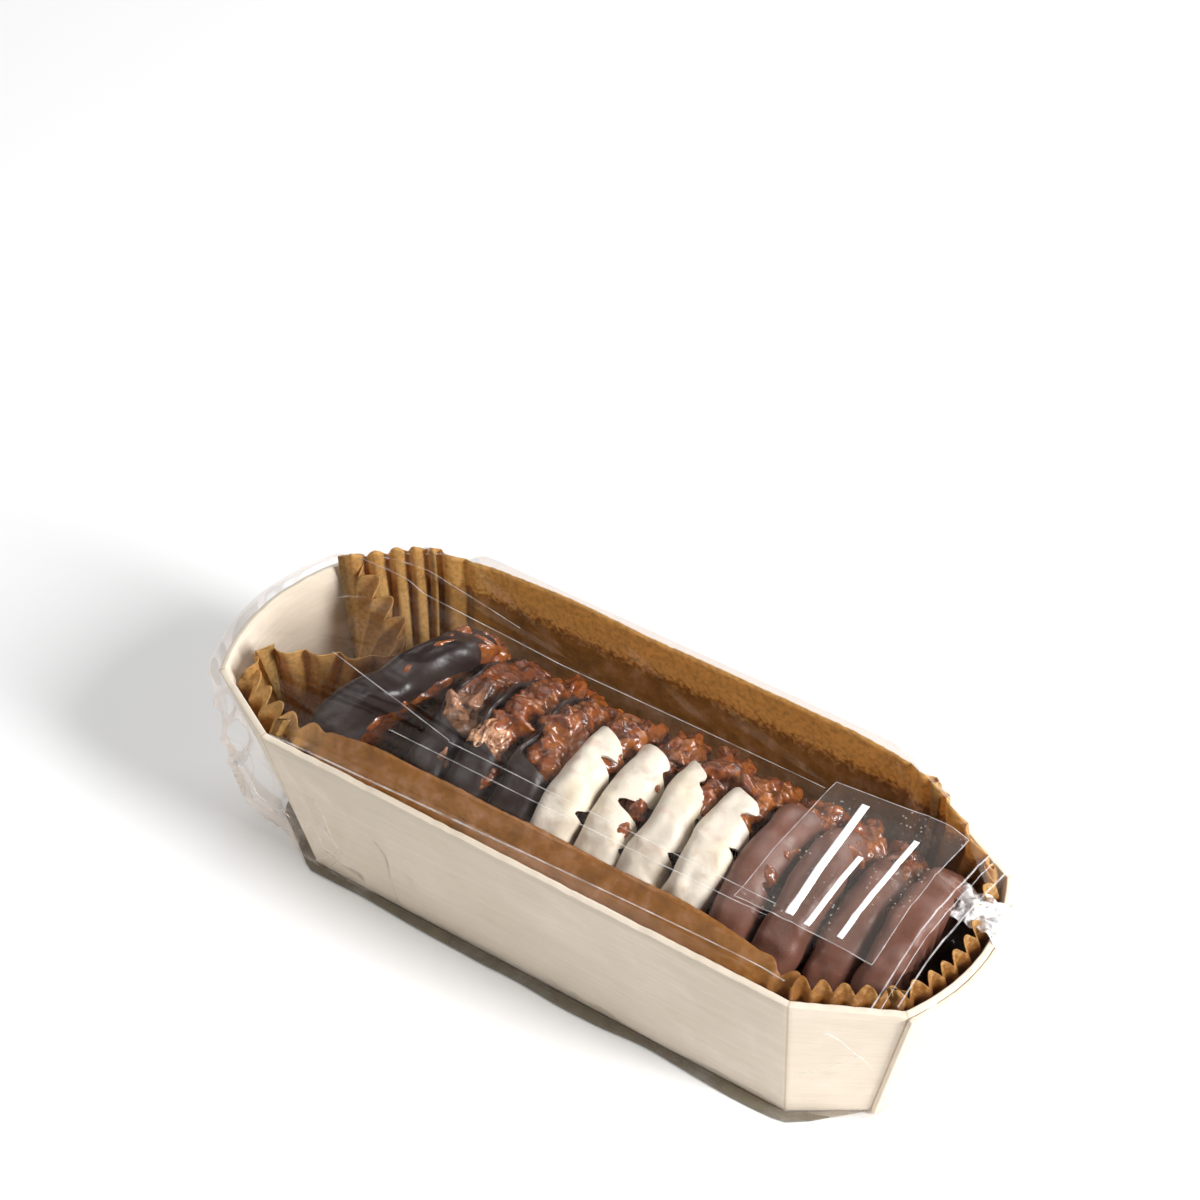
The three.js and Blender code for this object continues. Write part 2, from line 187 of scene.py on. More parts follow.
def plan_point(outline, panel, along):
    """A point of an outline and its outward normal."""
    points = corners(outline)
    index = PANELS.index(panel)
    start, stop = Vector(points[index]), Vector(points[(index + 1) % 8])
    point = start.lerp(stop, along)
    run = stop - start
    normal = Vector((run.y, -run.x)).normalized()
    if panel in ("right", "left"):
        share = point.y / outline["corner_y"]
        sign = 1 if panel == "right" else -1
        point.x += sign * outline["bow"] * (1 - share * share)
        slope = 2 * outline["bow"] * share / outline["corner_y"]
        normal = Vector((sign, slope)).normalized()
    return point, normal


def columns(side, corner, end):
    """The places round an outline at which a wall has its edge lines: panel, share and distance run."""
    counts = {"front": side, "back": side, "right": end, "left": end}
    points = corners(RIM)
    places = []
    run = 0.0
    for index, panel in enumerate(PANELS):
        count = counts.get(panel, corner)
        span = (Vector(points[(index + 1) % 8]) - Vector(points[index])).length
        places += [(panel, step / count, run + span * step / count) for step in range(count)]
        run += span
    return places


# ---- meshes -------------------------------------------------------------------------------------


def lofted(places, rows, shape):
    """A closed wall of quads: a grid whose columns go round places and whose rows go up, put by shape."""
    bm = bmesh.new()
    layer = bm.loops.layers.uv.new("strip")
    folds = bm.loops.layers.uv.new("folds")
    bmesh.ops.create_grid(bm, x_segments=len(places), y_segments=rows, size=1)
    cells = {}
    for vert in bm.verts:
        cells[vert] = (round((vert.co.x + 1) / 2 * len(places)), (vert.co.y + 1) / 2)
    total = places[-1][2] + places[1][2]
    for face in bm.faces:
        for loop in face.loops:
            column, up = cells[loop.vert]
            run = places[column][2] if column < len(places) else total
            loop[layer].uv = (run * MILLIMETRE, up)
            loop[folds].uv = (1.0 if places[column % len(places)][1] == 0 else 0.0, 0.0)
    for vert, (column, up) in cells.items():
        panel, along, run = places[column % len(places)]
        vert.co = shape(panel, along, run, up)
    bmesh.ops.remove_doubles(bm, verts=bm.verts, dist=1e-4)
    return bm


def mapped_grid(across, up, shape):
    """A grid of across by up cells, each corner put by shape, which gets two shares from 0 to 1."""
    bm = bmesh.new()
    bmesh.ops.create_grid(bm, x_segments=across, y_segments=up, size=1)
    for vert in bm.verts:
        vert.co = shape((vert.co.x + 1) / 2, (vert.co.y + 1) / 2)
    return bm


def piece(name, bm, material, replaces=()):
    """Turns a bmesh in millimetres into a finished piece that rides on the pack."""
    bmesh.ops.scale(bm, vec=(MILLIMETRE,) * 3, verts=bm.verts)
    mesh = bpy.data.meshes.new(name)
    for face in bm.faces:
        face.smooth = True
    bm.to_mesh(mesh)
    bm.free()
    made = bpy.data.objects.new(name, mesh)
    bpy.context.scene.collection.objects.link(made)
    made.data.materials.append(material)
    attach(made, "root")
    if replaces:
        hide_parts(*replaces)
    return made


def thicken(made, thickness, offset=-1.0, even=True):
    modifier = made.modifiers.new("Thickness", "SOLIDIFY")
    modifier.thickness = thickness
    modifier.offset = offset
    modifier.use_even_offset = even
    return modifier


def round_edges(made, width, angle=math.radians(50)):
    modifier = made.modifiers.new("Edges", "BEVEL")
    modifier.width = width
    modifier.segments = 2
    modifier.limit_method = "ANGLE"
    modifier.angle_limit = angle
    return modifier


# ---- material helpers ---------------------------------------------------------------------------


class Finish:
    """A material whose nodes are added by short calls, each returning an output socket."""

    def __init__(self, name, roughness):
        self.material = bpy.data.materials.new(name)
        self.material.use_nodes = True
        self.tree = self.material.node_tree
        self.shader = self.tree.nodes["Principled BSDF"]
        self.output = self.tree.nodes["Material Output"]
        self.shader.inputs["Roughness"].default_value = roughness
        self.coords = self.add("ShaderNodeTexCoord")

    def add(self, kind, **values):
        node = self.tree.nodes.new(kind)
        for key, value in values.items():
            setattr(node, key, value)
        return node

    def link(self, source, target):
        self.tree.links.new(source, target)

    def stretched(self, scale, source="Object"):
        node = self.add("ShaderNodeMapping")
        node.inputs["Scale"].default_value = scale
        self.link(self.coords.outputs[source], node.inputs["Vector"])
        return node.outputs["Vector"]

    def noise(self, scale, detail=3.0, stretch=None, source="Object", distortion=0.0):
        node = self.add("ShaderNodeTexNoise")
        node.inputs["Scale"].default_value = scale
        node.inputs["Detail"].default_value = detail
        node.inputs["Distortion"].default_value = distortion
        vector = self.stretched(stretch, source) if stretch else self.coords.outputs[source]
        self.link(vector, node.inputs["Vector"])
        return node.outputs["Fac"]

    def ramp(self, source, stops):
        node = self.add("ShaderNodeValToRGB")
        node.color_ramp.elements[0].position = stops[0][0]
        node.color_ramp.elements[0].color = (*stops[0][1], 1)
        node.color_ramp.elements[1].position = stops[-1][0]
        node.color_ramp.elements[1].color = (*stops[-1][1], 1)
        for position, value in stops[1:-1]:
            node.color_ramp.elements.new(position).color = (*value, 1)
        self.link(source, node.inputs["Fac"])
        return node.outputs["Color"]

    def spread(self, source, low, high, to_low=0.0, to_high=1.0):
        node = self.add("ShaderNodeMapRange")
        node.inputs["From Min"].default_value = low
        node.inputs["From Max"].default_value = high
        node.inputs["To Min"].default_value = to_low
        node.inputs["To Max"].default_value = to_high
        self.link(source, node.inputs["Value"])
        return node.outputs["Result"]

    def math(self, operation, first, second=None):
        node = self.add("ShaderNodeMath", operation=operation)
        for index, value in enumerate((first, second)):
            if isinstance(value, (int, float)):
                node.inputs[index].default_value = value
            elif value is not None:
                self.link(value, node.inputs[index])
        return node.outputs[0]

    def blend(self, share, first, second, kind="MIX"):
        node = self.add("ShaderNodeMix", data_type="RGBA", blend_type=kind)
        for index, value in ((0, share), (6, first), (7, second)):
            if isinstance(value, (int, float)):
                node.inputs[index].default_value = value
            elif isinstance(value, tuple):
                node.inputs[index].default_value = (*value, 1)
            else:
                self.link(value, node.inputs[index])
        return node.outputs[2]

    def stain(self, base, share, source, low, high):
        """Darkens a colour with a share of a stain, which is given where the source is low and high."""
        return self.blend(share, base, self.ramp(source, [low, high]), "MULTIPLY")

    def colour(self, source):
        self.link(source, self.shader.inputs["Base Color"])

    def roughness(self, source):
        self.link(source, self.shader.inputs["Roughness"])

    def relief(self, source, distance, strength=1.0):
        node = self.add("ShaderNodeBump")
        node.inputs["Distance"].default_value = distance
        node.inputs["Strength"].default_value = strength
        self.link(source, node.inputs["Height"])
        self.link(node.outputs["Normal"], self.shader.inputs["Normal"])

    def glaze(self, weight, roughness):
        self.shader.inputs["Coat Weight"].default_value = weight
        self.shader.inputs["Coat Roughness"].default_value = roughness

    def plain(self, tint):
        self.shader.inputs["Base Color"].default_value = (*tint, 1)

    def place(self):
        """The place in the pack, as its X, Y and Z outputs."""
        node = self.add("ShaderNodeSeparateXYZ")
        self.link(self.coords.outputs["Object"], node.inputs["Vector"])
        return node.outputs

    def layer(self, share, under, over):
        """Sends two shaders to the surface, with a share of the second over the first."""
        both = self.add("ShaderNodeMixShader")
        if isinstance(share, float):
            both.inputs["Fac"].default_value = share
        else:
            self.link(share, both.inputs["Fac"])
        self.link(under.outputs["BSDF"], both.inputs[1])
        self.link(over.outputs["BSDF"], both.inputs[2])
        self.link(both.outputs["Shader"], self.output.inputs["Surface"])

    def see_through(self, share):
        """Leaves the material clear except for a share of its shader."""
        self.layer(share, self.add("ShaderNodeBsdfTransparent"), self.shader)


def darker(value, factor):
    return tuple(channel * factor for channel in value)


def paler(value, share):
    return tuple(mix(channel, 1.0, share) for channel in value)


def veneer_finish(tint):
    """Pale raw veneer with grain along the strip and a fine crack where the strip is folded."""
    finish = Finish("Poplar veneer", 0.72)
    grain = finish.noise(1.0, 5.0, (55.0, 42.0, 1.0), "UV", 0.6)
    fine = finish.noise(1.0, 3.0, (260.0, 190.0, 1.0), "UV")
    clouds = finish.noise(22.0, 2.0)
    base = finish.ramp(grain, [(0.30, darker(tint, 0.95)), (0.52, tint), (0.75, paler(tint, 0.10))])
    base = finish.stain(base, 0.3, fine, (0.35, (0.86, 0.83, 0.78)), (0.6, (1, 1, 1)))
    base = finish.stain(base, 0.5, clouds, (0.35, (0.93, 0.90, 0.86)), (0.65, (1, 1, 1)))
    folds = finish.add("ShaderNodeUVMap", uv_map="folds")
    parts = finish.add("ShaderNodeSeparateXYZ")
    finish.link(folds.outputs["UV"], parts.inputs["Vector"])
    crack = finish.spread(parts.outputs["X"], 0.72, 0.95, 0.0, 0.55)
    base = finish.blend(crack, base, (0.40, 0.25, 0.12))
    finish.colour(base)
    finish.relief(finish.math("ADD", finish.math("MULTIPLY", fine, 0.6), grain), 0.0002, 0.35)
    return finish.material


def paper_finish(tint, lit):
    """Thin baking paper: mottled, with short fibres, letting some light through; painted light makes it paler
    gold above the veneer's rim at the back and right end, and all over the left end.
    """
    finish = Finish("Baking paper", 0.62)
    clouds = finish.noise(260.0, 4.0)
    mottle = finish.noise(900.0, 3.0)
    fibres = finish.noise(1.0, 4.0, (500.0, 1400.0, 1400.0))
    bright = paler(darker(tint, 1.15), 0.08)
    base = finish.ramp(clouds, [(0.30, darker(tint, 0.72)), (0.5, tint), (0.72, bright)])
    base = finish.stain(base, 0.55, mottle, (0.35, (0.74, 0.68, 0.60)), (0.62, (1, 1, 1)))
    # Painted light: paler gold above the rim at the back and right end, and all over the left end, where light
    # comes through the paper.
    place = finish.place()
    height = finish.math("ADD", place["Z"], finish.spread(mottle, 0.3, 0.7, -0.002, 0.002))
    high = finish.spread(height, 0.0500, 0.0530)
    behind = finish.math("MULTIPLY", finish.math("MULTIPLY", high, finish.spread(place["Y"], 0.005, 0.02)), 0.9)
    at_left = finish.spread(place["X"], -0.082, -0.055, 1.0, 0.0)
    at_right = finish.math("MULTIPLY", high, finish.spread(place["X"], 0.070, 0.082, 0.0, 0.8))
    painted_light_share = finish.math("MAXIMUM", finish.math("MAXIMUM", behind, at_left), at_right)
    base = finish.blend(painted_light_share, base, finish.ramp(mottle, [(0.32, darker(lit, 0.72)), (0.6, lit)]))
    finish.colour(base)
    finish.relief(finish.math("ADD", mottle, fibres), 0.00018, 0.6)
    through = finish.add("ShaderNodeBsdfTranslucent")
    finish.link(base, through.inputs["Color"])
    finish.layer(0.48, finish.shader, through)
    return finish.material


def chocolate_finish(name, tint, roughness, showing=None):
    """A set coat of chocolate: soft gloss, cloudy bloom, flow marks, and nuts faintly showing through."""
    finish = Finish(name, roughness)
    clouds = finish.noise(95.0, 3.0, distortion=0.4)
    specks = finish.noise(1500.0, 2.0)
    base = finish.ramp(clouds, [(0.32, darker(tint, 0.82)), (0.55, tint), (0.78, paler(tint, 0.05))])
    if showing:
        blotches = finish.spread(finish.noise(260.0, 2.0, distortion=0.5), 0.52, 0.70, 0.0, 0.6)
        base = finish.blend(blotches, base, showing)
        warmth = finish.spread(finish.noise(120.0, 1.0), 0.45, 0.7, 0.0, 0.35)
        base = finish.blend(warmth, base, (tint[0] * 1.02, tint[1] * 0.95, tint[2] * 0.72))
    finish.colour(base)
    finish.roughness(finish.spread(clouds, 0.3, 0.7, roughness - 0.06, roughness + 0.1))
    flow = finish.noise(330.0, 2.0)
    finish.relief(finish.math("ADD", flow, finish.math("MULTIPLY", specks, 0.12)), 0.0006, 0.35)
    finish.shader.inputs["Specular IOR Level"].default_value = 0.4
    return finish.material


def caramel_finish(name, tint, nut, behind=None):
    """Glossy baked caramel over toasted nuts, with dark scorched hollows; another caramel may lie behind."""
    finish = Finish(name, 0.26)
    lumps = finish.noise(210.0, 2.0, distortion=0.8)
    specks = finish.noise(1100.0, 3.0)
    base = finish.ramp(
        lumps,
        [(0.34, darker(tint, 0.35)), (0.47, tint), (0.58, darker(nut, 0.7)), (0.74, nut)],
    )
    if behind:
        far = finish.spread(finish.place()["Y"], -0.005, 0.001)
        base = finish.blend(far, base, finish.ramp(lumps, [(0.36, darker(behind, 0.4)), (0.6, behind)]))
    base = finish.stain(base, 0.6, specks, (0.36, (0.55, 0.42, 0.34)), (0.58, (1, 1, 1)))
    finish.colour(base)
    finish.relief(specks, 0.0005, 0.5)
    finish.glaze(0.45, 0.12)
    return finish.material


def walnut_finish(tint):
    """Toasted walnut: pale skin with dark furrows, glazed with caramel."""
    finish = Finish("Walnut", 0.32)
    veins = finish.noise(420.0, 5.0, distortion=1.6)
    patches = finish.noise(130.0, 2.0)
    base = finish.ramp(veins, [(0.34, (0.16, 0.045, 0.02)), (0.50, darker(tint, 0.72)), (0.62, tint)])
    base = finish.stain(base, 0.6, patches, (0.38, (0.55, 0.30, 0.20)), (0.60, (1, 1, 1)))
    finish.colour(base)
    finish.relief(veins, 0.0006, 0.7)
    finish.glaze(0.6, 0.12)
    return finish.material


def film_finish():
    """Clear wrapping film: see-through, with glossy mirror light that grows at a glancing angle."""
    finish = Finish("Clear film", 0.06)
    finish.plain((1.0, 0.86, 0.77))
    finish.shader.inputs["Metallic"].default_value = 1.0
    edge = finish.add("ShaderNodeFresnel")
    edge.inputs["IOR"].default_value = 1.24
    smears = finish.spread(finish.noise(60.0, 3.0, (0.5, 4.5, 1.0)), 0.35, 0.70, 0.45, 1.9)
    share = finish.math("MINIMUM", finish.math("MULTIPLY", edge.outputs["Fac"], smears), 0.32)
    finish.see_through(share)
    return finish.material


def edge_and_highlight_finish():
    """Cut and folded edges of the film: whitish, partly the layered film's own colour and partly painted
    highlight.
    """
    finish = Finish("Film edges", 0.3)
    finish.plain((0.86, 0.84, 0.84))
    share = finish.spread(finish.noise(240.0, 3.0), 0.3, 0.7, 0.05, 0.34)
    finish.see_through(share)
    return finish.material


def knot_and_highlight_finish():
    """Bunched film, many layers thick, coloured white and frosted: partly the bunched film's own whiteness and
    partly painted highlight.
    """
    finish = Finish("Bunched film", 0.22)
    finish.plain((0.93, 0.93, 0.93))
    share = finish.spread(finish.noise(420.0, 3.0, distortion=0.8), 0.35, 0.6, 0.10, 0.9)
    finish.see_through(share)
    return finish.material


def painted_shadow_finish():
    """A grey, partly clear strip laid on the floor along the foot, shaped as folded film: painted contact
    shadow, thinning out to nothing.
    """
    finish = Finish("Shaded film", 0.5)
    finish.plain((0.19, 0.160, 0.112))
    share = finish.spread(finish.noise(90.0, 3.0), 0.3, 0.7, 0.40, 0.85)
    finish.see_through(share)
    return finish.material


def label_finish():
    """A clear label: a little milkier than the film, with tiny bubbles of air under it."""
    finish = Finish("Clear label", 0.35)
    finish.plain((0.82, 0.74, 0.68))
    bubbles = finish.add("ShaderNodeTexVoronoi")
    bubbles.inputs["Scale"].default_value = 700.0
    finish.link(finish.coords.outputs["Object"], bubbles.inputs["Vector"])
    patches = finish.spread(finish.noise(120.0, 2.0), 0.45, 0.62)
    dots = finish.spread(bubbles.outputs["Distance"], 0.12, 0.22, 0.20, 0.0)
    share = finish.math("ADD", finish.math("MULTIPLY", dots, patches), 0.025)
    finish.see_through(share)
    return finish.material


def ink_finish():
    finish = Finish("White print", 0.5)
    worn = finish.noise(2500.0, 2.0)
    finish.colour(finish.ramp(worn, [(0.3, (0.80, 0.79, 0.77)), (0.5, (0.95, 0.94, 0.93))]))
    return finish.material


# ---- veneer tray --------------------------------------------------------------------------------


def rim_nick(x, y, depth):
    value = noise.noise(Vector((x * 0.35, y * 0.35, 3.1)))
    fine = noise.noise(Vector((x * 1.3, y * 1.3, 7.7)))
    return depth * (max(0.0, value) * 0.9 + max(0.0, fine) * 0.6)


def build_wall(sizes, material):
    places = columns(side=96, corner=20, end=36)
    rows = 10

    def shape(panel, along, run, up):
        z = mix(WALL_LOW.z, WALL_HIGH.z, up)
        point, _ = plan_point(wall_outline(z), panel, along)
        if up == 1:
            z -= rim_nick(point.x, point.y, millimetres(sizes.rim_nicks))
        return Vector((point.x, point.y, z))

    wall = piece("veneer_wall", lofted(places, rows, shape), material, ("tray_wall",))
    thicken(wall, sizes.veneer)
    round_edges(wall, 0.00025)
    return wall


def build_overlap(sizes, material):
    """The strip's second ply, which laps the right end panel from its front corner."""

    def shape(across, up):
        z = mix(WALL_LOW.z, WALL_HIGH.z - 0.3, up)
        along = mix(0.0, 0.86, across)
        point, normal = plan_point(wall_outline(z), "right", along)
        point += normal * 0.12
        if up == 1:
            z -= rim_nick(point.x + 31, point.y, millimetres(sizes.rim_nicks))
        return Vector((point.x, point.y, z))

    bm = mapped_grid(40, 8, shape)
    layer = bm.loops.layers.uv.new("strip")
    for face in bm.faces:
        for loop in face.loops:
            loop[layer].uv = (loop.vert.co.y * MILLIMETRE + 0.4, loop.vert.co.z / WALL_HIGH.z)
    ply = piece("veneer_overlap", bm, material)
    thicken(ply, sizes.overlap, 1.0)
    round_edges(ply, 0.00025)
    return ply


# ---- paper liner --------------------------------------------------------------------------------

LINER_SHOULDER = WALL_HIGH.z - 2.0
LINER_INSET = 2.05
LINER_TOPS = {"front": (51.5, 56.2), "back": (60.8, LINER_HIGH.z - 0.6)}
CORNER_TOPS = {"front_right": (51.5, 51.0), "back_right": (55.0, 60.2), "back_left": (60.8, 56.0),
               "front_left": (48.5, 51.0)}
PANEL_LEANS = {"front": 6.3, "front_left": 3.2, "front_right": 2.6, "right": 2.0, "back_right": 1.2,
               "back": 0.5, "back_left": 1.2, "left": 1.0}
TORN_STEP_X = 66.0
# Where the caved-in left end runs in plan at the rim, from the back corner to its tip and forward.
CAVED = (
    (-91.6, 21.4), (-79.0, 14.5), (-65.0, 7.0), (-67.5, 2.5),
    (-80.0, -3.5), (-93.0, -11.0), (-91.8, -21.4),
)
CAVED_TIP = 0.42
# Panels with more flutes than their length asks for, and how deep flutes and high scallops get in their middle.
EXTRA_FLUTES = {"left": 3, "front_right": 2, "right": 3, "back_left": 1}
FLUTE_DEPTHS = {"left": 1.3, "front_right": 0.6, "right": 0.6}
SCALLOPS = {"front_right": 0.55, "right": 0.8, "back_right": 1.5, "back_left": 2.0}


def caved_point(along):
    """A place along the caved end and its outward normal."""
    points = [Vector(point) for point in CAVED]
    spans = [(b - a).length for a, b in zip(points, points[1:])]
    left = along * sum(spans)
    for start, stop, span in zip(points, points[1:], spans):
        if left <= span or stop is points[-1]:
            run = (stop - start) / span
            return start + run * min(left, span), Vector((run.y, -run.x))
        left -= span


def flute_strength(panel, x):
    if panel not in ("front", "back"):
        return 1.0
    return smoothstep(abs(x), RIM["side_x"] * (0.80 if x > 0 else 0.74), RIM["side_x"] * 0.97)


def flute_wave(run, pitch):
    wander = 0.35 * noise.noise(Vector((run * 0.05, 2.7, 0.4)))
    return abs(math.sin(math.pi * (run / pitch + wander)))


def liner_top(panel, along, x, run):
    if panel in LINER_TOPS:
        low, high = LINER_TOPS[panel]
        top = mix(high, low, smoothstep(abs(x), 40.0, RIM["side_x"]))
        top += 0.8 * noise.noise(Vector((run * 0.06, 0.3, 5.0)))
    elif panel in CORNER_TOPS:
        low, high = CORNER_TOPS[panel]
        top = mix(low, high, smoothstep(along, 0, 1))
    elif panel == "left":
        top = mix(53.5, 51.0, smoothstep(along, 0, CAVED_TIP)) if along < CAVED_TIP else 51.0
    else:
        top = mix(51.0, 55.0, smoothstep(along, 0.3, 1))
    if panel == "front" and x > TORN_STEP_X:
        top -= 1.4
    return top + 0.3 * noise.noise(Vector((run * 0.7, 1.9, 0.0)))


def liner_lean(panel, x):
    lean = PANEL_LEANS[panel]
    if panel == "front":
        lean *= 1 - 0.45 * flute_strength(panel, x)
    return lean


def build_liner(sizes, material):
    places = columns(side=170, corner=60, end=150)
    rows = 30
    shoulder_row = 0.72
    pitch = millimetres(sizes.flute_pitch)
    depth = millimetres(sizes.flute_depth)
    scallop = millimetres(sizes.scallop)
    foot = LINER_LOW.z + 0.2

    def shape(panel, along, run, up):
        below = clamp(up / shoulder_row)
        above = clamp((up - shoulder_row) / (1 - shoulder_row))
        edge, outward = plan_point(RIM, panel, along)
        run += along * EXTRA_FLUTES.get(panel, 0) * pitch
        inside = math.sin(math.pi * along) ** 0.5 if 0 < along < 1 else 0.0
        strength = flute_strength(panel, edge.x)
        wave = flute_wave(run, pitch) * strength
        rise = scallop * mix(1.0, SCALLOPS.get(panel, 1.0), inside)
        top = liner_top(panel, along, edge.x, run) + rise * (wave - 0.3 * strength)
        shoulder = min(LINER_SHOULDER, top - 2.5)
        z = mix(foot, shoulder, below) if above == 0 else mix(shoulder, top, above)
        deeper = mix(1.0, FLUTE_DEPTHS.get(panel, 1.0), inside)
        folds = depth * deeper * wave * mix(0.08, 1.0, below**1.2)
        lean = liner_lean(panel, edge.x) * above**0.9
        crumple = 0.35 * noise.noise(Vector((edge.x * 0.07, edge.y * 0.07, z * 0.08))) * below
        point, normal = plan_point(wall_outline(min(z, WALL_HIGH.z)), panel, along)
        point -= normal * LINER_INSET
        if panel == "left":
            caved, caved_normal = caved_point(along)
            share = below**1.3
            point += (caved - (edge - outward * LINER_INSET)) * share
            normal = normal.lerp(caved_normal, share).normalized()
        point -= normal * (folds + lean + max(0.0, crumple))
        return Vector((point.x, point.y, z))

    bm = lofted(places, rows, shape)
    lowest = [edge for edge in bm.edges if edge.is_boundary and max(v.co.z for v in edge.verts) < foot + 0.1]
    bmesh.ops.contextual_create(bm, geom=lowest)
    bmesh.ops.recalc_face_normals(bm, faces=bm.faces)
    liner = piece("fluted_liner", bm, material, ("paper_liner",))
    thicken(liner, sizes.paper, 0.0, even=False)
    return liner


# ---- florentines --------------------------------------------------------------------------------


class Disc:
    """One florentine: a disc with its axis along local X, dipped base towards -X."""

    def __init__(self, coat, item):
        self.coat = coat
        self.item = item
        self.node = f"florentine_{coat}_{item}"
        self.place = COATS.index(coat) * PER_COAT + item - 1
        low, high = node_box(self.node)
        self.radius = (high.y - low.y) / 2
        self.half = 4.9
        middle = (low + high) / 2
        if self.place == FIRST_PLACE:
            middle.x = FIRST_PLACE_X
        self.matrix = Matrix.Translation(middle) @ Matrix.Rotation(LEAN, 4, "Y")
        self.seed = Vector((self.place * 7.3, self.place * 3.1, 0.0))

    def bent(self, point):
        if self.place == FIRST_PLACE:
            point.x -= FIRST_BEND * (math.hypot(min(point.y - BEND_START, 0), BEND_ROUNDING) - BEND_ROUNDING)
        return point

    def outline(self, angle):
        """How much the disc's edge waves in and out at an angle round it."""
        direction = Vector((math.cos(angle), math.sin(angle), 0)) * 1.4 + self.seed
        share = 1 + 0.045 * noise.noise(direction) + 0.02 * noise.noise(direction * 3)
        for middle, width, size in LUMPS.get(self.place, ()):
            away = (math.degrees(angle) - middle) / width
            share += size * math.exp(-away * away)
        if FIRST_PLACE < self.place < LAST_PLACE - 1:
            share -= SUNK * math.exp(-(((math.degrees(angle) - SUNK_AT) / SUNK_WIDTH) ** 2))
        return share

    def profile(self, run, round_off):
        """From the middle of the -X face over the edge to the middle of the +X face."""
        radius, half = self.radius, self.half
        face = radius - round_off
        bend = math.pi / 2 * round_off
        rim = 2 * half - 2 * round_off
        if run < face:
            return -half, run
        run -= face
        if run < bend:
            angle = run / round_off
            return -half + round_off * (1 - math.cos(angle)), face + round_off * math.sin(angle)
        run -= bend
        if run < rim:
            return -half + round_off + run, radius
        run -= rim
        if run < bend:
            angle = run / round_off
            return half - round_off * (1 - math.sin(angle)), face + round_off * math.cos(angle)
        run -= bend
        return half, max(0.0, face - run)

    def profile_length(self, round_off):
        return 2 * (self.radius - round_off) + math.pi * round_off + 2 * self.half - 2 * round_off


ROUND_OFF = 3.4
# The bare nuts behind the top sink in: how much, where round the edge, and how wide.
SUNK = 0.11
SUNK_AT = 50
SUNK_WIDTH = 20
# Swellings and dips of single florentines' edges: where round the edge, how wide, and how big.
LUMPS = {
    0: ((80, 16, 0.045), (108, 9, -0.09), (126, 14, 0.02)),
    1: ((92, 34, -0.10),),
    2: ((70, 12, -0.06),),
    3: ((98, 10, -0.06), (70, 12, 0.02)),
}
# For each coat: the angles between which the nuts stay bare, with the top at 90 and the front at 180,
# how sharply the coat's edge turns there, and how far it runs onto the faces, bare and covered.
BARE = {"dark": (-40, 117), "white": (-45, 76), "milk": (-40, 68)}
TURNS = {"dark": (6, 10, 1.0), "white": (2, 22, 0.55), "milk": (8, 14, 1.0)}
BARE_START = {"dark": 2.2, "white": 6.0, "milk": 1.0}
LAPS_OVER = {"dark": 6.0, "white": 3.6, "milk": 7.5}
# Hollows in single coats' right edges where nuts show: where round the edge, how wide, how deep.
HOLLOWS = {
    4: ((98, 5, 9.0), (127, 4, 7.5)),
    5: ((91, 5, 6.0), (113, 6, 12.0), (134, 4, 6.0)),
    6: ((89, 6, 7.0), (104, 4, 6.0), (126, 4, 7.0)),
    7: ((94, 5, 8.0), (111, 3, 6.5)),
    8: ((118, 6, 12.0), (96, 5, 8.0)),
    9: ((92, 6, 9.0),),
}


def around(degrees, middle):
    return abs((degrees - middle + 180) % 360 - 180)


def coat_reach(disc, angle):
    """How far the chocolate runs along the profile at an angle: over the edge, or short of it."""
    if disc.place == LAST_PLACE:
        return disc.profile_length(ROUND_OFF)
    edge = disc.radius - ROUND_OFF + math.pi / 2 * ROUND_OFF
    over = edge + 2 * (disc.half - ROUND_OFF) + math.pi / 2 * ROUND_OFF
    ragged = 1.3 * noise.noise(Vector((angle * 5.0, 9.0, 0)) + disc.seed)
    if disc.place == FIRST_PLACE:
        return over + 2.0 + ragged
    low, high = BARE[disc.coat]
    before, after, power = TURNS[disc.coat]
    wobble = 6 * noise.noise(Vector((math.cos(angle) * 2, math.sin(angle) * 2, 0)) + disc.seed)
    degrees = math.degrees(angle)
    away = around(degrees + wobble, (low + high) / 2)
    covered = smoothstep(away, (high - low) / 2 - before, (high - low) / 2 + after) ** power
    reach = mix(edge - BARE_START[disc.coat], over + LAPS_OVER[disc.coat], covered) + ragged
    for middle, width, depth in HOLLOWS.get(disc.place, ()):
        reach -= depth * math.exp(-((around(degrees, middle) / width) ** 2)) * covered
    return reach


def coat_shape(disc):
    closed = disc.place == LAST_PLACE

    def shape(across, up):
        angle = 2 * math.pi * across
        reach = coat_reach(disc, angle)
        x, radius = disc.profile(reach * up, ROUND_OFF)
        lumps = noise.noise(Vector((math.cos(angle) * 3.2, math.sin(angle) * 3.2, x * 0.16)) + disc.seed)
        ripple = noise.noise(Vector((math.cos(angle) * 8, math.sin(angle) * 8, x * 0.30)) + disc.seed)
        swell = 1 + (0.030 * lumps + 0.014 * ripple) * smoothstep(radius, 4, disc.radius)
        radius *= disc.outline(angle) * swell
        x += 1.3 * lumps * smoothstep(radius, 3, disc.radius * 0.8)
        if closed and up > 0.5:
            x += 0.6 * ripple
        point = Vector((x, radius * math.cos(angle), radius * math.sin(angle)))
        return disc.matrix @ disc.bent(point)

    return shape


def build_coat(disc, sizes, material):
    bm = mapped_grid(240, 64, coat_shape(disc))
    bmesh.ops.remove_doubles(bm, verts=bm.verts, dist=1e-3)
    bmesh.ops.recalc_face_normals(bm, faces=bm.faces)
    replaces = (disc.node,)
    made = piece(f"{disc.coat}_coat_{disc.item}", bm, material, replaces)
    if disc.place != LAST_PLACE:
        thicken(made, sizes.coat, 0.2)
        round_edges(made, 0.0003, math.radians(60))
    return made


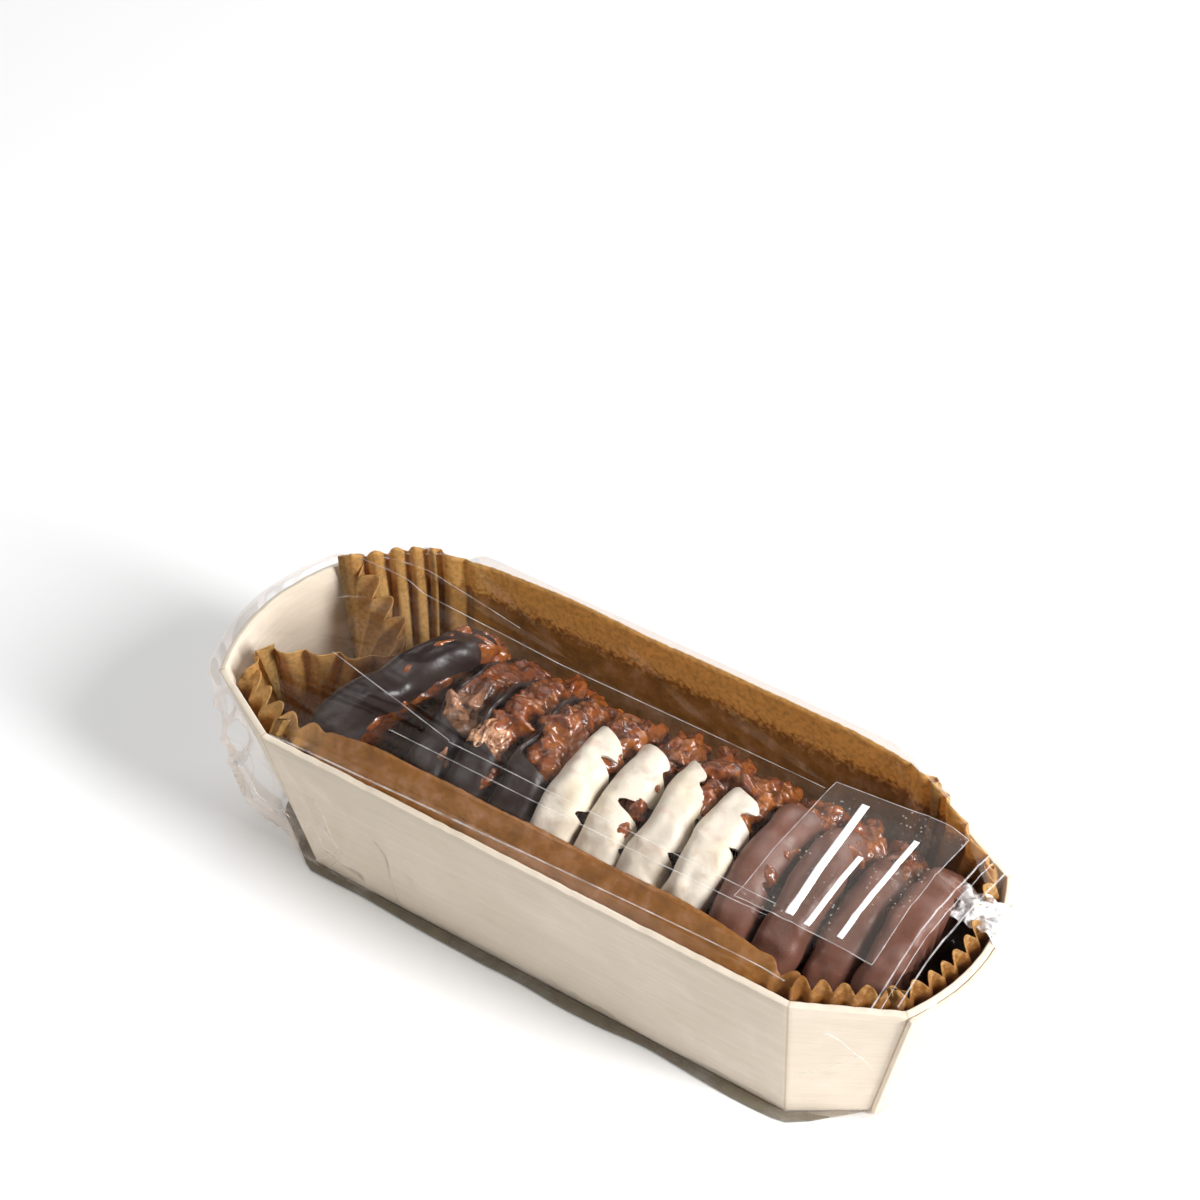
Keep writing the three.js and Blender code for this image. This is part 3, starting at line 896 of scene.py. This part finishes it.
def add_lump(bm, angle, radius, x, size, flat, rng):
    """One squashed piece of nut or bead of caramel."""
    matrix = Matrix.Translation((x, radius * math.cos(angle), radius * math.sin(angle)))
    turn = Matrix.Rotation(rng.uniform(0, math.pi), 4, Vector((rng.random(), rng.random(), rng.random())))
    stretch = Matrix.Diagonal((size * flat, size * rng.uniform(0.8, 1.5), size * rng.uniform(0.7, 1.1), 1))
    bmesh.ops.create_icosphere(bm, subdivisions=2, radius=1.0, matrix=matrix @ turn @ stretch)


FLAKES = 16


def nut_mass(disc, sizes):
    """The baked mass: a thin disc of caramel stuck full of nuts, standing proud where it is bare."""
    rng = random.Random(100 + disc.place)
    bm = bmesh.new()
    low, high = BARE[disc.coat]
    body = Matrix.Rotation(math.pi / 2, 4, "Y")
    bmesh.ops.create_cone(
        bm, cap_ends=True, segments=48, radius1=disc.radius - 3.2, radius2=disc.radius - 3.8,
        depth=2 * disc.half - 2.6, matrix=body,
    )
    size = millimetres(sizes.nut)
    for _ in range(sizes.nuts):
        on_rim = rng.random() < 0.62
        angle = math.radians(rng.uniform(low - 35, high + 35)) if on_rim else rng.uniform(0, 2 * math.pi)
        bare = low < math.degrees(angle) < high
        nut = size * rng.uniform(0.55, 1.25)
        if on_rim:
            proud = rng.uniform(-1.6, 0.4) if bare else rng.uniform(-1.2, -0.3)
            deeper = 3.0 if disc.place == FIRST_PLACE else 0.0
            radius = disc.radius * disc.outline(angle) - nut * 0.85 + proud - deeper
            x = rng.uniform(-disc.half + 2.4, disc.half - 1.2)
        else:
            radius = disc.radius * math.sqrt(rng.uniform(0.05, 0.86))
            x = disc.half - nut * rng.uniform(0.7, 0.95) + 0.2
        add_lump(bm, angle, radius, x, nut, rng.uniform(0.3, 0.9), rng)
    for _ in range(FLAKES):
        angle = math.radians(rng.uniform(low + 60, high - 4))
        flake = rng.uniform(3.4, 6.2)
        radius = disc.radius * disc.outline(angle) - flake * rng.uniform(0.62, 0.92)
        x = rng.uniform(-disc.half + 2.4, disc.half - 1.0)
        add_lump(bm, angle, radius, x, flake, rng.uniform(0.22, 0.35), rng)
    return bm


CRATERS = 26


def craters(disc):
    """Burst bubbles in the frothy caramel: where each is, how wide and how deep."""
    rng = random.Random(7)
    made = []
    for _ in range(CRATERS):
        angle = math.radians(rng.uniform(88, 118))
        radius = disc.radius * disc.outline(angle) - rng.uniform(0.2, 1.6)
        middle = Vector((rng.uniform(-2.0, 3.4), radius * math.cos(angle), radius * math.sin(angle)))
        made.append((middle, rng.uniform(0.55, 1.15), rng.uniform(0.9, 1.8)))
    return made


# Half its length, width and height, and where it lies.
WALNUT = (3.9, 5.6, 4.2)
WALNUT_PLACE = Vector((-24.2, -10.2, 55.2))


def build_walnut(material):
    """A half walnut lying in the third florentine's edge, deeply furrowed."""
    bm = bmesh.new()
    bmesh.ops.create_icosphere(bm, subdivisions=6, radius=1.0)
    turn = Matrix.Rotation(math.radians(25), 4, "X") @ Matrix.Rotation(math.radians(-20), 4, "Z")
    for vert in bm.verts:
        way = vert.co.normalized()
        ridge = 1 - abs(noise.noise(way * 2.3 + Vector((3, 1, 8)))) * 2.2
        fine = noise.noise(way * 6.5 + Vector((1, 5, 2)))
        size = 1 + 0.16 * ridge + 0.06 * fine - 0.10 * math.exp(-((way.y / 0.12) ** 2))
        vert.co = turn @ (Vector((way.x * WALNUT[0], way.y * WALNUT[1], way.z * WALNUT[2])) * size)
        vert.co += WALNUT_PLACE
    return piece("walnut_half", bm, material)


def build_nuts(disc, sizes, material):
    made = piece(f"{disc.coat}_nuts_{disc.item}", nut_mass(disc, sizes), material)
    remesh = made.modifiers.new("Mass", "REMESH")
    remesh.mode = "VOXEL"
    remesh.voxel_size = sizes.voxel
    depsgraph = bpy.context.evaluated_depsgraph_get()
    mesh = bpy.data.meshes.new_from_object(made.evaluated_get(depsgraph))
    made.modifiers.clear()
    bm = bmesh.new()
    bm.from_mesh(mesh)
    bpy.data.meshes.remove(mesh)
    bmesh.ops.smooth_vert(bm, verts=bm.verts, factor=0.5, use_axis_x=True, use_axis_y=True, use_axis_z=True)
    bm.normal_update()
    moves = []
    pits = craters(disc) if disc.place == FROTHY_PLACE else ()
    for vert in bm.verts:
        point = vert.co / MILLIMETRE
        rough = noise.noise(point * 0.5 + disc.seed) * 0.6 + noise.noise(point * 1.3 + disc.seed) * 0.3
        for middle, wide, deep in pits:
            away = (point - middle).length / wide
            if away < 2:
                rough -= deep * math.exp(-away * away * 1.5)
        moves.append((vert, vert.normal * rough * MILLIMETRE))
    for vert, move in moves:
        vert.co += move
        vert.co = disc.matrix @ disc.bent(vert.co / MILLIMETRE) * MILLIMETRE
    for face in bm.faces:
        face.smooth = True
    bm.to_mesh(made.data)
    bm.free()
    made.data.materials.clear()
    made.data.materials.append(material)
    return made


# ---- film ---------------------------------------------------------------------------------------

FILM_RIM_Z = WALL_HIGH.z + 0.6
FILM_TOP_Z = FILM_HIGH.z + 0.3
# The stretched film's profile across the pack, as places across it and heights, front to back.
ACROSS = (
    (-FILM_RIM["half_width"], FILM_RIM_Z),
    (-33.2, 55.2),
    (-27.0, 55.8),
    (-21.5, 57.6),
    (-18.0, 58.0),
    (-7.0, 61.4),
    (12.0, FILM_TOP_Z - 0.9),
    (33.4, FILM_TOP_Z),
    (FILM_RIM["half_width"], FILM_RIM_Z),
)
# How far in from each end the film climbs to that profile, and how steeply it leaves the rim.
END_SLOPES = {"left": 0.36, "right": 0.62}
CORNER_SLOPES = {(-1, -1): 0.50, (1, -1): 0.50, (1, 1): 1.5, (-1, 1): 1.3}
# Creases pulled into the film: two ends in plan, height and width.
CREASES = (
    ((-92, 23), (-60, 13.5), 0.6, 0.9),
    ((-60, 13.5), (50, 12), 0.35, 0.8),
    ((-92, 24.5), (-60, 20), 0.6, 0.8),
    ((-60, 20), (-20, 15), 0.4, 0.8),
    ((-95, -22.6), (-57, -27), 0.9, 1.0),
    ((-95, -22.6), (-32, -18.5), 0.8, 1.1),
    ((-95, -20), (-44, -15), 0.7, 1.0),
    ((-92, -14), (-62, -6), 0.6, 0.9),
    ((-69, -11), (-10, -17), 0.5, 0.7),
    ((-88, 2), (-58, 10), 0.5, 1.0),
    ((-84, 14), (-66, -8), 0.4, 1.0),
    ((-60, 30), (-20, 16), 0.35, 0.9),
    ((-10, 26), (20, 15), 0.35, 0.8),
    ((20, 22), (52, 14), 0.4, 0.7),
    ((60, 30), (88, 6), 0.3, 0.9),
    ((74, -31), (90, -14), 0.6, 0.9),
    ((70, -16), (97, 4), 0.8, 1.0),
    ((74, 2), (98, 7), 0.7, 1.0),
    ((82, 20), (98, 8), 0.6, 1.0),
    ((56, -24), (66, -12), 0.6, 0.8),
    ((58, -13), (66, -24), 0.5, 0.8),
    ((50, -20), (62, -25), 0.4, 0.8),
    ((88, -10), (97, -4), 0.5, 0.8),
)


def distance_to_line(point, start, stop):
    run = stop - start
    share = clamp((point - start).dot(run) / run.length_squared)
    return (point - start - run * share).length, share


def height_across(y):
    for (y0, z0), (y1, z1) in zip(ACROSS, ACROSS[1:]):
        if y <= y1:
            return mix(z0, z1, clamp((y - y0) / (y1 - y0)))
    return FILM_RIM_Z


def film_height(x, y):
    """How high the stretched film is over a place in plan."""
    soften = 0.5
    across = (height_across(y - soften) + 2 * height_across(y) + height_across(y + soften)) / 4
    end = FILM_RIM["corner_x"] + FILM_RIM["bow"] * (1 - (y / FILM_RIM["half_width"]) ** 2)
    heights = [across]
    slope = END_SLOPES["left" if x < 0 else "right"]
    heights.append(FILM_RIM_Z + (end - abs(x)) * slope)
    sign_x, sign_y = math.copysign(1, x), math.copysign(1, y)
    run = Vector((FILM_RIM["corner_x"] - FILM_RIM["side_x"], FILM_RIM["half_width"] - FILM_RIM["corner_y"]))
    outward = Vector((run.y, run.x)).normalized()
    inside = (FILM_RIM["side_x"] - abs(x)) * outward.x + (FILM_RIM["half_width"] - abs(y)) * outward.y
    heights.append(FILM_RIM_Z + inside * CORNER_SLOPES[(sign_x, sign_y)])
    lowest = min(heights)
    blend = sum(math.exp((lowest - height) * 1.2) for height in heights)
    height = lowest - math.log(blend) * 0.5
    point = Vector((x, y))
    for start, stop, size, width in CREASES:
        away, share = distance_to_line(point, Vector(start), Vector(stop))
        if away < 5 * width:
            height += size * math.exp(-away / width) * math.sin(math.pi * mix(0.1, 0.9, share))
    height += 0.13 * noise.noise(Vector((x * 0.045, y * 0.16, 1.0)))
    return min(height, FILM_HIGH.z + 1.2)


# How far the loose film stands off each panel, at the middle of its height.
STAND_OFF = {"front": 0.5, "front_right": 1.2, "right": 1.6, "back_right": 1.6, "back": 0.5, "back_left": 2.4,
             "left": 4.5, "front_left": 6.5}


def film_side(panel, along, share):
    """A place on the film's side, from the foot at 0 to the rim at 1."""
    index = PANELS.index(panel)
    nearer = PANELS[(index + (1 if along > 0.5 else -1)) % 8]
    loose = mix(STAND_OFF[panel], STAND_OFF[nearer], 0.5 * smoothstep(abs(along - 0.5) * 2, 0.2, 1.0))
    point, normal = plan_point(mix_outlines(FILM_FOOT, FILM_RIM, share), panel, along)
    z = mix(FILM_LOW.z + 0.05, FILM_RIM_Z, share)
    folds = noise.noise(Vector((point.x * 0.07, point.y * 0.07, z * 0.04 + 3)))
    sharp = abs(noise.noise(Vector((point.x * 0.13, point.y * 0.13, z * 0.07 + 8))))
    belly = math.sin(math.pi * share) ** 0.7
    stand_off = loose * belly * (1 + 0.7 * folds - 1.3 * sharp) - 0.1
    point += normal * max(-0.1, stand_off)
    return Vector((point.x, point.y, z))


CLEARANCE = 0.4
CONTENTS = ("fluted_liner", "dark_", "white_", "milk_")


def contents_below():
    """A tree for each thing in the tray that the film may rest on."""
    depsgraph = bpy.context.evaluated_depsgraph_get()
    things = [item for item in bpy.context.scene.objects if item.name.startswith(CONTENTS)]
    return [BVHTree.FromObject(thing, depsgraph) for thing in things]


def rest_on_contents(bm, trees):
    """Lifts the stretched film where something in the tray would stand through it."""
    down = Vector((0, 0, -1))
    for vert in bm.verts:
        if vert.co.z < FILM_RIM_Z - 1:
            continue
        above = Vector((vert.co.x, vert.co.y, FILM_HIGH.z + 20)) * MILLIMETRE
        hits = [tree.ray_cast(above, down)[0] for tree in trees]
        highest = max((hit.z / MILLIMETRE for hit in hits if hit), default=0)
        if highest + CLEARANCE > vert.co.z:
            vert.co.z = min(highest + CLEARANCE, FILM_HIGH.z + 1.2)


def build_film(material):
    places = columns(side=190, corner=34, end=72)
    rows = 128
    under_row, rim_row = 2 / rows, 28 / rows

    def shape(panel, along, run, up):
        if up < under_row:
            share = up / under_row
            point, _ = plan_point(FILM_FOOT, panel, along)
            return Vector((point.x * share, point.y * share, FILM_LOW.z + 0.05))
        if up <= rim_row:
            return film_side(panel, along, (up - under_row) / (rim_row - under_row))
        share = (1 - up) / (1 - rim_row)
        point, _ = plan_point(FILM_RIM, panel, along)
        x, y = point.x * share, point.y * share
        fade = smoothstep(1 - share, 0.0, 0.02)
        return Vector((x, y, mix(FILM_RIM_Z, film_height(x, y), fade)))

    bm = lofted(places, rows, shape)
    rest_on_contents(bm, contents_below())
    bmesh.ops.recalc_face_normals(bm, faces=bm.faces)
    film = piece("clear_wrap", bm, material, ("film_wrap",))
    film.visible_shadow = False
    return film


def on_film(x, y, lift):
    return Vector((x, y, film_height(x, y) + lift))


# How far above the film its seams, the label, the label's print and the label's edge lie.
SEAM_LIFT, LABEL_LIFT, PRINT_LIFT, LABEL_EDGE_LIFT = 0.12, 0.25, 0.42, 0.45
SEAM_THICKNESS, KNOT_THICKNESS, LABEL_THICKNESS, PRINT_THICKNESS = 0.00005, 0.00008, 0.00006, 0.00004

# Cut edges and folds of the film, drawn as fine whitish lines that are partly the layered edge and partly
# painted highlight: ends in plan, and width.
TOP_SEAMS = (
    ((-70.0, -35.2), (69.0, -32.2), 0.30),
    ((-92.0, 23.3), (-60.5, 13.7), 0.28),
    ((-60.5, 13.7), (-20.0, 12.0), 0.22),
    ((-20.0, 12.0), (52.0, 12.3), 0.20),
    ((-92.0, 24.6), (-60.0, 20.2), 0.22),
    ((-60.0, 20.2), (-34.0, 16.4), 0.20),
    ((-69.0, -11.0), (-30.0, -17.6), 0.22),
    ((-44.0, -22.0), (58.0, -21.6), 0.22),
    ((-30.0, -17.9), (58.0, -17.9), 0.22),
    ((87.4, -27.4), (90.0, 24.5), 0.35),
    ((89.2, -26.2), (91.4, 23.6), 0.22),
    ((92.0, -24.0), (94.3, 21.5), 0.35),
)
# Folds on the sides, drawn the same way and partly painted highlight: the panel, then the share along it and
# the share up it at both ends.
SIDE_SEAMS = (
    ("front_left", (0.05, 0.30), (0.75, 0.80), 0.40),
    ("front_left", (0.20, 0.35), (0.95, 0.10), 0.35),
    ("front_left", (0.35, 0.95), (0.80, 0.45), 0.30),
    ("front", (0.02, 0.10), (0.10, 0.75), 0.35),
    ("front", (0.00, 0.55), (0.06, 0.12), 0.30),
    ("front_right", (0.30, 0.85), (0.75, 0.55), 0.30),
    ("front_right", (0.10, 0.45), (0.60, 0.70), 0.25),
    ("right", (0.10, 0.80), (0.35, 0.20), 0.35),
)


def seam_on_top(start, stop, width, lift=SEAM_LIFT):
    start, stop = Vector(start), Vector(stop)
    beside = (stop - start).normalized().orthogonal()
    count = max(8, round((stop - start).length / 1.0))

    def shape(across, up):
        place = start.lerp(stop, across) + beside * (up - 0.5) * width
        return on_film(place.x, place.y, lift)

    return mapped_grid(count, 1, shape)


def seam_on_side(panel, start, stop, width):
    start, stop = Vector(start), Vector(stop)

    def shape(across, up):
        place = start.lerp(stop, across)
        bow = 0.06 * math.sin(math.pi * across)
        point = film_side(panel, clamp(place.x + bow), clamp(place.y))
        out = Vector((point.x, point.y, 0)).normalized() * 0.15
        return point + out + Vector((0, 0, (up - 0.5) * width))

    return mapped_grid(24, 1, shape)


KNOT_PLACE = Vector((93.8, 9.2, 54.2))
KNOT_SIZE = Vector((6.5, 5.0))


def knot_of_film():
    """The wrap's sealed tail, bunched up at the right end."""

    def shape(across, up):
        x, y = (across - 0.5) * 2, (up - 0.5) * 2
        folds = noise.noise(Vector((x * 1.6 + y, y * 0.9, 2.0)))
        sharp = abs(noise.noise(Vector((x * 2.2, y * 1.3 - x, 6.0))))
        torn = 1 + 0.5 * noise.noise(Vector((x * 1.7, y * 1.9, 9.0)))
        edge = max(abs(x), abs(y))
        height = 1.6 * folds + 2.6 * sharp - 2.6 * edge * edge - 0.12 * (x * KNOT_SIZE.x)
        return KNOT_PLACE + Vector((x * KNOT_SIZE.x * torn, y * KNOT_SIZE.y * torn, height))

    return mapped_grid(44, 44, shape)


# A narrow grey strip laid on the floor along the foot is painted contact shadow: which panels, and how wide it
# gets.
SHADOW_STRIP_PANELS = ("left", "front_left", "front", "front_right")
SHADOW_STRIP_WIDTH = 2.8


def build_painted_shadow_strip(material):
    places = [place for place in columns(side=90, corner=16, end=24) if place[0] in SHADOW_STRIP_PANELS]
    places.sort(key=lambda place: SHADOW_STRIP_PANELS.index(place[0]))

    def shape(across, up):
        panel, along = places[round(across * (len(places) - 1))][:2]
        point, normal = plan_point(FOOT, panel, along)
        ragged = 1 + 0.35 * noise.noise(Vector((point.x * 0.06, point.y * 0.06, 3.0)))
        width = SHADOW_STRIP_WIDTH * ragged * up * clamp(14 * min(across, 1 - across))
        return Vector((point.x + normal.x * width, point.y + normal.y * width, 0.25 + 0.5 * (1 - up)))

    made = piece("film_base_fold", mapped_grid(len(places) - 1, 5, shape), material)
    thicken(made, SEAM_THICKNESS, 1.0)
    return made


def build_knot(material):
    made = piece("film_knot", knot_of_film(), material)
    thicken(made, KNOT_THICKNESS, 1.0)
    return made


def joined(meshes):
    whole = bmesh.new()
    for bm in meshes:
        mesh = bpy.data.meshes.new("part")
        bm.to_mesh(mesh)
        bm.free()
        whole.from_mesh(mesh)
        bpy.data.meshes.remove(mesh)
    return whole


def build_seams_and_highlights(material):
    strips = [seam_on_top(*seam) for seam in TOP_SEAMS]
    strips += [seam_on_side(*seam) for seam in SIDE_SEAMS]
    made = piece("film_seams", joined(strips), material)
    thicken(made, SEAM_THICKNESS, 1.0)
    return made


# ---- label --------------------------------------------------------------------------------------

# The label's corners in plan: front left, front right, back right, back left. It was stuck on askew.
LABEL_CORNERS = (Vector((49.2, -20.9)), Vector((83.2, -20.2)), Vector((85.2, 18.0)), Vector((53.3, 15.0)))
LABEL_EDGE_WIDTH = 0.24


def label_point(across, up):
    """A place in plan on the label, from shares of its length and width."""
    near = LABEL_CORNERS[0].lerp(LABEL_CORNERS[1], across)
    return near.lerp(LABEL_CORNERS[3].lerp(LABEL_CORNERS[2], across), up)


def build_label(material):
    def shape(across, up):
        place = label_point(across, up)
        return on_film(place.x, place.y, LABEL_LIFT)

    label = piece("clear_label_sheet", mapped_grid(44, 48, shape), material, ("clear_label",))
    thicken(label, LABEL_THICKNESS, 1.0)
    return label


def build_label_rim(material):
    """The label's cut edge all the way round, in the whitish edge colour: partly the edge's own and partly
    painted highlight.
    """
    ends = zip(LABEL_CORNERS, LABEL_CORNERS[1:] + LABEL_CORNERS[:1])
    sides = [seam_on_top(start, stop, LABEL_EDGE_WIDTH, LABEL_EDGE_LIFT) for start, stop in ends]
    made = piece("label_rim", joined(sides), material)
    thicken(made, SEAM_THICKNESS, 1.0)
    return made


# Plain bars stand where lines of print would be: where each starts and stops, and its thickness.
# All are shares of the label's length and width.
BARS = (
    (0.37, 0.04, 0.29, 0.91, 0.058),
    (0.505, 0.03, 0.51, 0.56, 0.042),
    (0.73, 0.05, 0.75, 0.80, 0.042),
)


def build_print(material):
    bm = bmesh.new()
    for start_across, start_up, stop_across, stop_up, thick in BARS:
        made = bmesh.ops.create_grid(bm, x_segments=6, y_segments=60, size=0.5)
        for vert in made["verts"]:
            along = vert.co.y + 0.5
            across = mix(start_across, stop_across, along) + vert.co.x * thick
            place = label_point(across, mix(start_up, stop_up, along))
            vert.co = on_film(place.x, place.y, PRINT_LIFT)
    made = piece("label_bars", bm, material)
    thicken(made, PRINT_THICKNESS, 1.0)
    return made


# ---- stage --------------------------------------------------------------------------------------

CAMERA_PLACE = (0.24838, -0.36069, 0.50752)
CAMERA_AZIMUTH = math.radians(34.53)
CAMERA_ELEVATION = math.radians(42.66)
CAMERA_ROLL = math.radians(-0.49)
CAMERA_LENS = 82.2


def build_camera():
    data = bpy.data.cameras.new("Camera")
    data.lens = CAMERA_LENS
    data.sensor_width = 36.0
    data.clip_start = 0.01
    made = bpy.data.objects.new("Camera", data)
    bpy.context.scene.collection.objects.link(made)
    azimuth, elevation = CAMERA_AZIMUTH, CAMERA_ELEVATION
    back = Vector((
        math.sin(azimuth) * math.cos(elevation),
        -math.cos(azimuth) * math.cos(elevation),
        math.sin(elevation),
    ))
    right = Vector((math.cos(azimuth), math.sin(azimuth), 0))
    turn = Matrix((right, back.cross(right), back)).transposed()
    roll = Matrix.Rotation(CAMERA_ROLL, 3, "Z")
    made.matrix_world = Matrix.Translation(CAMERA_PLACE) @ (turn @ roll).to_4x4()
    bpy.context.scene.camera = made


def build_floor():
    finish = Finish("Studio floor", 0.9)
    clouds = finish.noise(3.0, 2.0)
    finish.colour(finish.ramp(clouds, [(0.3, (0.84, 0.84, 0.84)), (0.7, (0.86, 0.86, 0.86))]))
    bm = bmesh.new()
    bmesh.ops.create_grid(bm, x_segments=4, y_segments=4, size=3.0)
    mesh = bpy.data.meshes.new("floor")
    bm.to_mesh(mesh)
    bm.free()
    floor = bpy.data.objects.new("floor", mesh)
    floor.data.materials.append(finish.material)
    bpy.context.scene.collection.objects.link(floor)
    floor.location.z = -0.0002


def area_light(name, place, aim, width, depth, power):
    data = bpy.data.lights.new(name, "AREA")
    data.shape = "RECTANGLE"
    data.size = width
    data.size_y = depth
    data.energy = power
    made = bpy.data.objects.new(name, data)
    made.location = place
    made.rotation_mode = "QUATERNION"
    made.rotation_quaternion = (Vector(aim) - Vector(place)).to_track_quat("-Z", "Y")
    bpy.context.scene.collection.objects.link(made)


def build_lights():
    area_light("Key", (1.00, -0.04, 0.66), (0, 0, 0.03), 0.26, 0.60, 21.0)
    area_light("Overhead", (-0.575, 0.175, 1.0), (-0.575, 0.175, 0), 0.85, 0.85, 3.2)
    area_light("Back", (0.30, 1.20, 0.50), (0, 0, 0.05), 1.00, 0.50, 10.0)
    area_light("Fill", (-0.62, -1.02, 0.91), (0, 0, 0.03), 0.60, 0.60, 4.5)
    world = bpy.data.worlds.new("Studio")
    world.use_nodes = True
    world.node_tree.nodes["Background"].inputs["Color"].default_value = (1, 1, 1, 1)
    world.node_tree.nodes["Background"].inputs["Strength"].default_value = 0.22
    bpy.context.scene.world = world
    bpy.context.scene.view_settings.view_transform = "Standard"


# ---- operators ----------------------------------------------------------------------------------


class FLORENTINE_OT_stage(bpy.types.Operator):
    """Add the floor, the lights and the camera"""

    bl_idname = "florentine.stage"
    bl_label = "Studio"

    def execute(self, context):
        build_camera()
        build_floor()
        build_lights()
        return {"FINISHED"}


class FLORENTINE_OT_tray(bpy.types.Operator):
    """Add the bent veneer wall and its overlap, and finish the base board"""

    bl_idname = "florentine.tray"
    bl_label = "Veneer tray"

    def execute(self, context):
        sizes = context.scene.florentine_sizes
        veneer = veneer_finish(tuple(context.scene.florentine_colours.veneer))
        build_wall(sizes, veneer)
        build_overlap(sizes, veneer)
        board = frame["nodes"]["tray_board"]
        board.data.materials.clear()
        board.data.materials.append(veneer)
        return {"FINISHED"}


class FLORENTINE_OT_liner(bpy.types.Operator):
    """Add the fluted paper liner"""

    bl_idname = "florentine.liner"
    bl_label = "Paper liner"

    def execute(self, context):
        scene = context.scene
        colours = scene.florentine_colours
        build_liner(scene.florentine_sizes, paper_finish(tuple(colours.paper), tuple(colours.paper_painted_light)))
        return {"FINISHED"}


class FLORENTINE_OT_row(bpy.types.Operator):
    """Add the row of florentines: a chocolate coat and a mass of nuts and caramel for each"""

    bl_idname = "florentine.row"
    bl_label = "Florentines"

    def execute(self, context):
        sizes = context.scene.florentine_sizes
        colours = context.scene.florentine_colours
        coats = {
            "dark": chocolate_finish("Dark chocolate", tuple(colours.dark), 0.40),
            "white": chocolate_finish("White chocolate", tuple(colours.white), 0.44, (0.50, 0.36, 0.28)),
            "milk": chocolate_finish("Milk chocolate", tuple(colours.milk), 0.42),
        }
        caramel = caramel_finish("Caramel and nuts", tuple(colours.caramel), tuple(colours.nut))
        pale = tuple(colours.pale_caramel)
        frothy = caramel_finish("Pale caramel", darker(pale, 0.8), pale, tuple(colours.caramel))
        for coat in COATS:
            for item in range(1, PER_COAT + 1):
                disc = Disc(coat, item)
                build_coat(disc, sizes, coats[coat])
                if disc.place != LAST_PLACE:
                    build_nuts(disc, sizes, frothy if disc.place == FROTHY_PLACE else caramel)
        build_walnut(walnut_finish(tuple(colours.walnut)))
        return {"FINISHED"}


class FLORENTINE_OT_film(bpy.types.Operator):
    """Add the clear film wrap"""

    bl_idname = "florentine.film"
    bl_label = "Clear film"

    def execute(self, context):
        build_film(film_finish())
        build_seams_and_highlights(edge_and_highlight_finish())
        build_knot(knot_and_highlight_finish())
        build_painted_shadow_strip(painted_shadow_finish())
        return {"FINISHED"}


class FLORENTINE_OT_label(bpy.types.Operator):
    """Add the clear label and its plain white bars"""

    bl_idname = "florentine.label"
    bl_label = "Clear label"

    def execute(self, context):
        build_label(label_finish())
        build_label_rim(edge_and_highlight_finish())
        build_print(ink_finish())
        return {"FINISHED"}


OPERATORS = (
    FLORENTINE_OT_stage,
    FLORENTINE_OT_tray,
    FLORENTINE_OT_liner,
    FLORENTINE_OT_row,
    FLORENTINE_OT_film,
    FLORENTINE_OT_label,
)


class FLORENTINE_PT_panel(bpy.types.Panel):
    """Lists the pack's pieces"""

    bl_idname = "FLORENTINE_PT_panel"
    bl_label = "Wrapped florentines"
    bl_space_type = "VIEW_3D"
    bl_region_type = "UI"
    bl_category = "Florentines"

    def draw(self, context):
        for operator in OPERATORS:
            self.layout.operator(operator.bl_idname)
        for group in (context.scene.florentine_sizes, context.scene.florentine_colours):
            for name in group.__annotations__:
                self.layout.prop(group, name)


CLASSES = (FlorentineSizes, FlorentineColours, *OPERATORS, FLORENTINE_PT_panel)


def register():
    for item in CLASSES:
        bpy.utils.register_class(item)
    bpy.types.Scene.florentine_sizes = PointerProperty(type=FlorentineSizes)
    bpy.types.Scene.florentine_colours = PointerProperty(type=FlorentineColours)


def unregister():
    del bpy.types.Scene.florentine_sizes
    del bpy.types.Scene.florentine_colours
    for item in reversed(CLASSES):
        bpy.utils.unregister_class(item)


def main():
    register()
    bpy.ops.florentine.stage()
    bpy.ops.florentine.tray()
    bpy.ops.florentine.liner()
    bpy.ops.florentine.row()
    bpy.ops.florentine.film()
    bpy.ops.florentine.label()


if __name__ == "__main__":
    main()
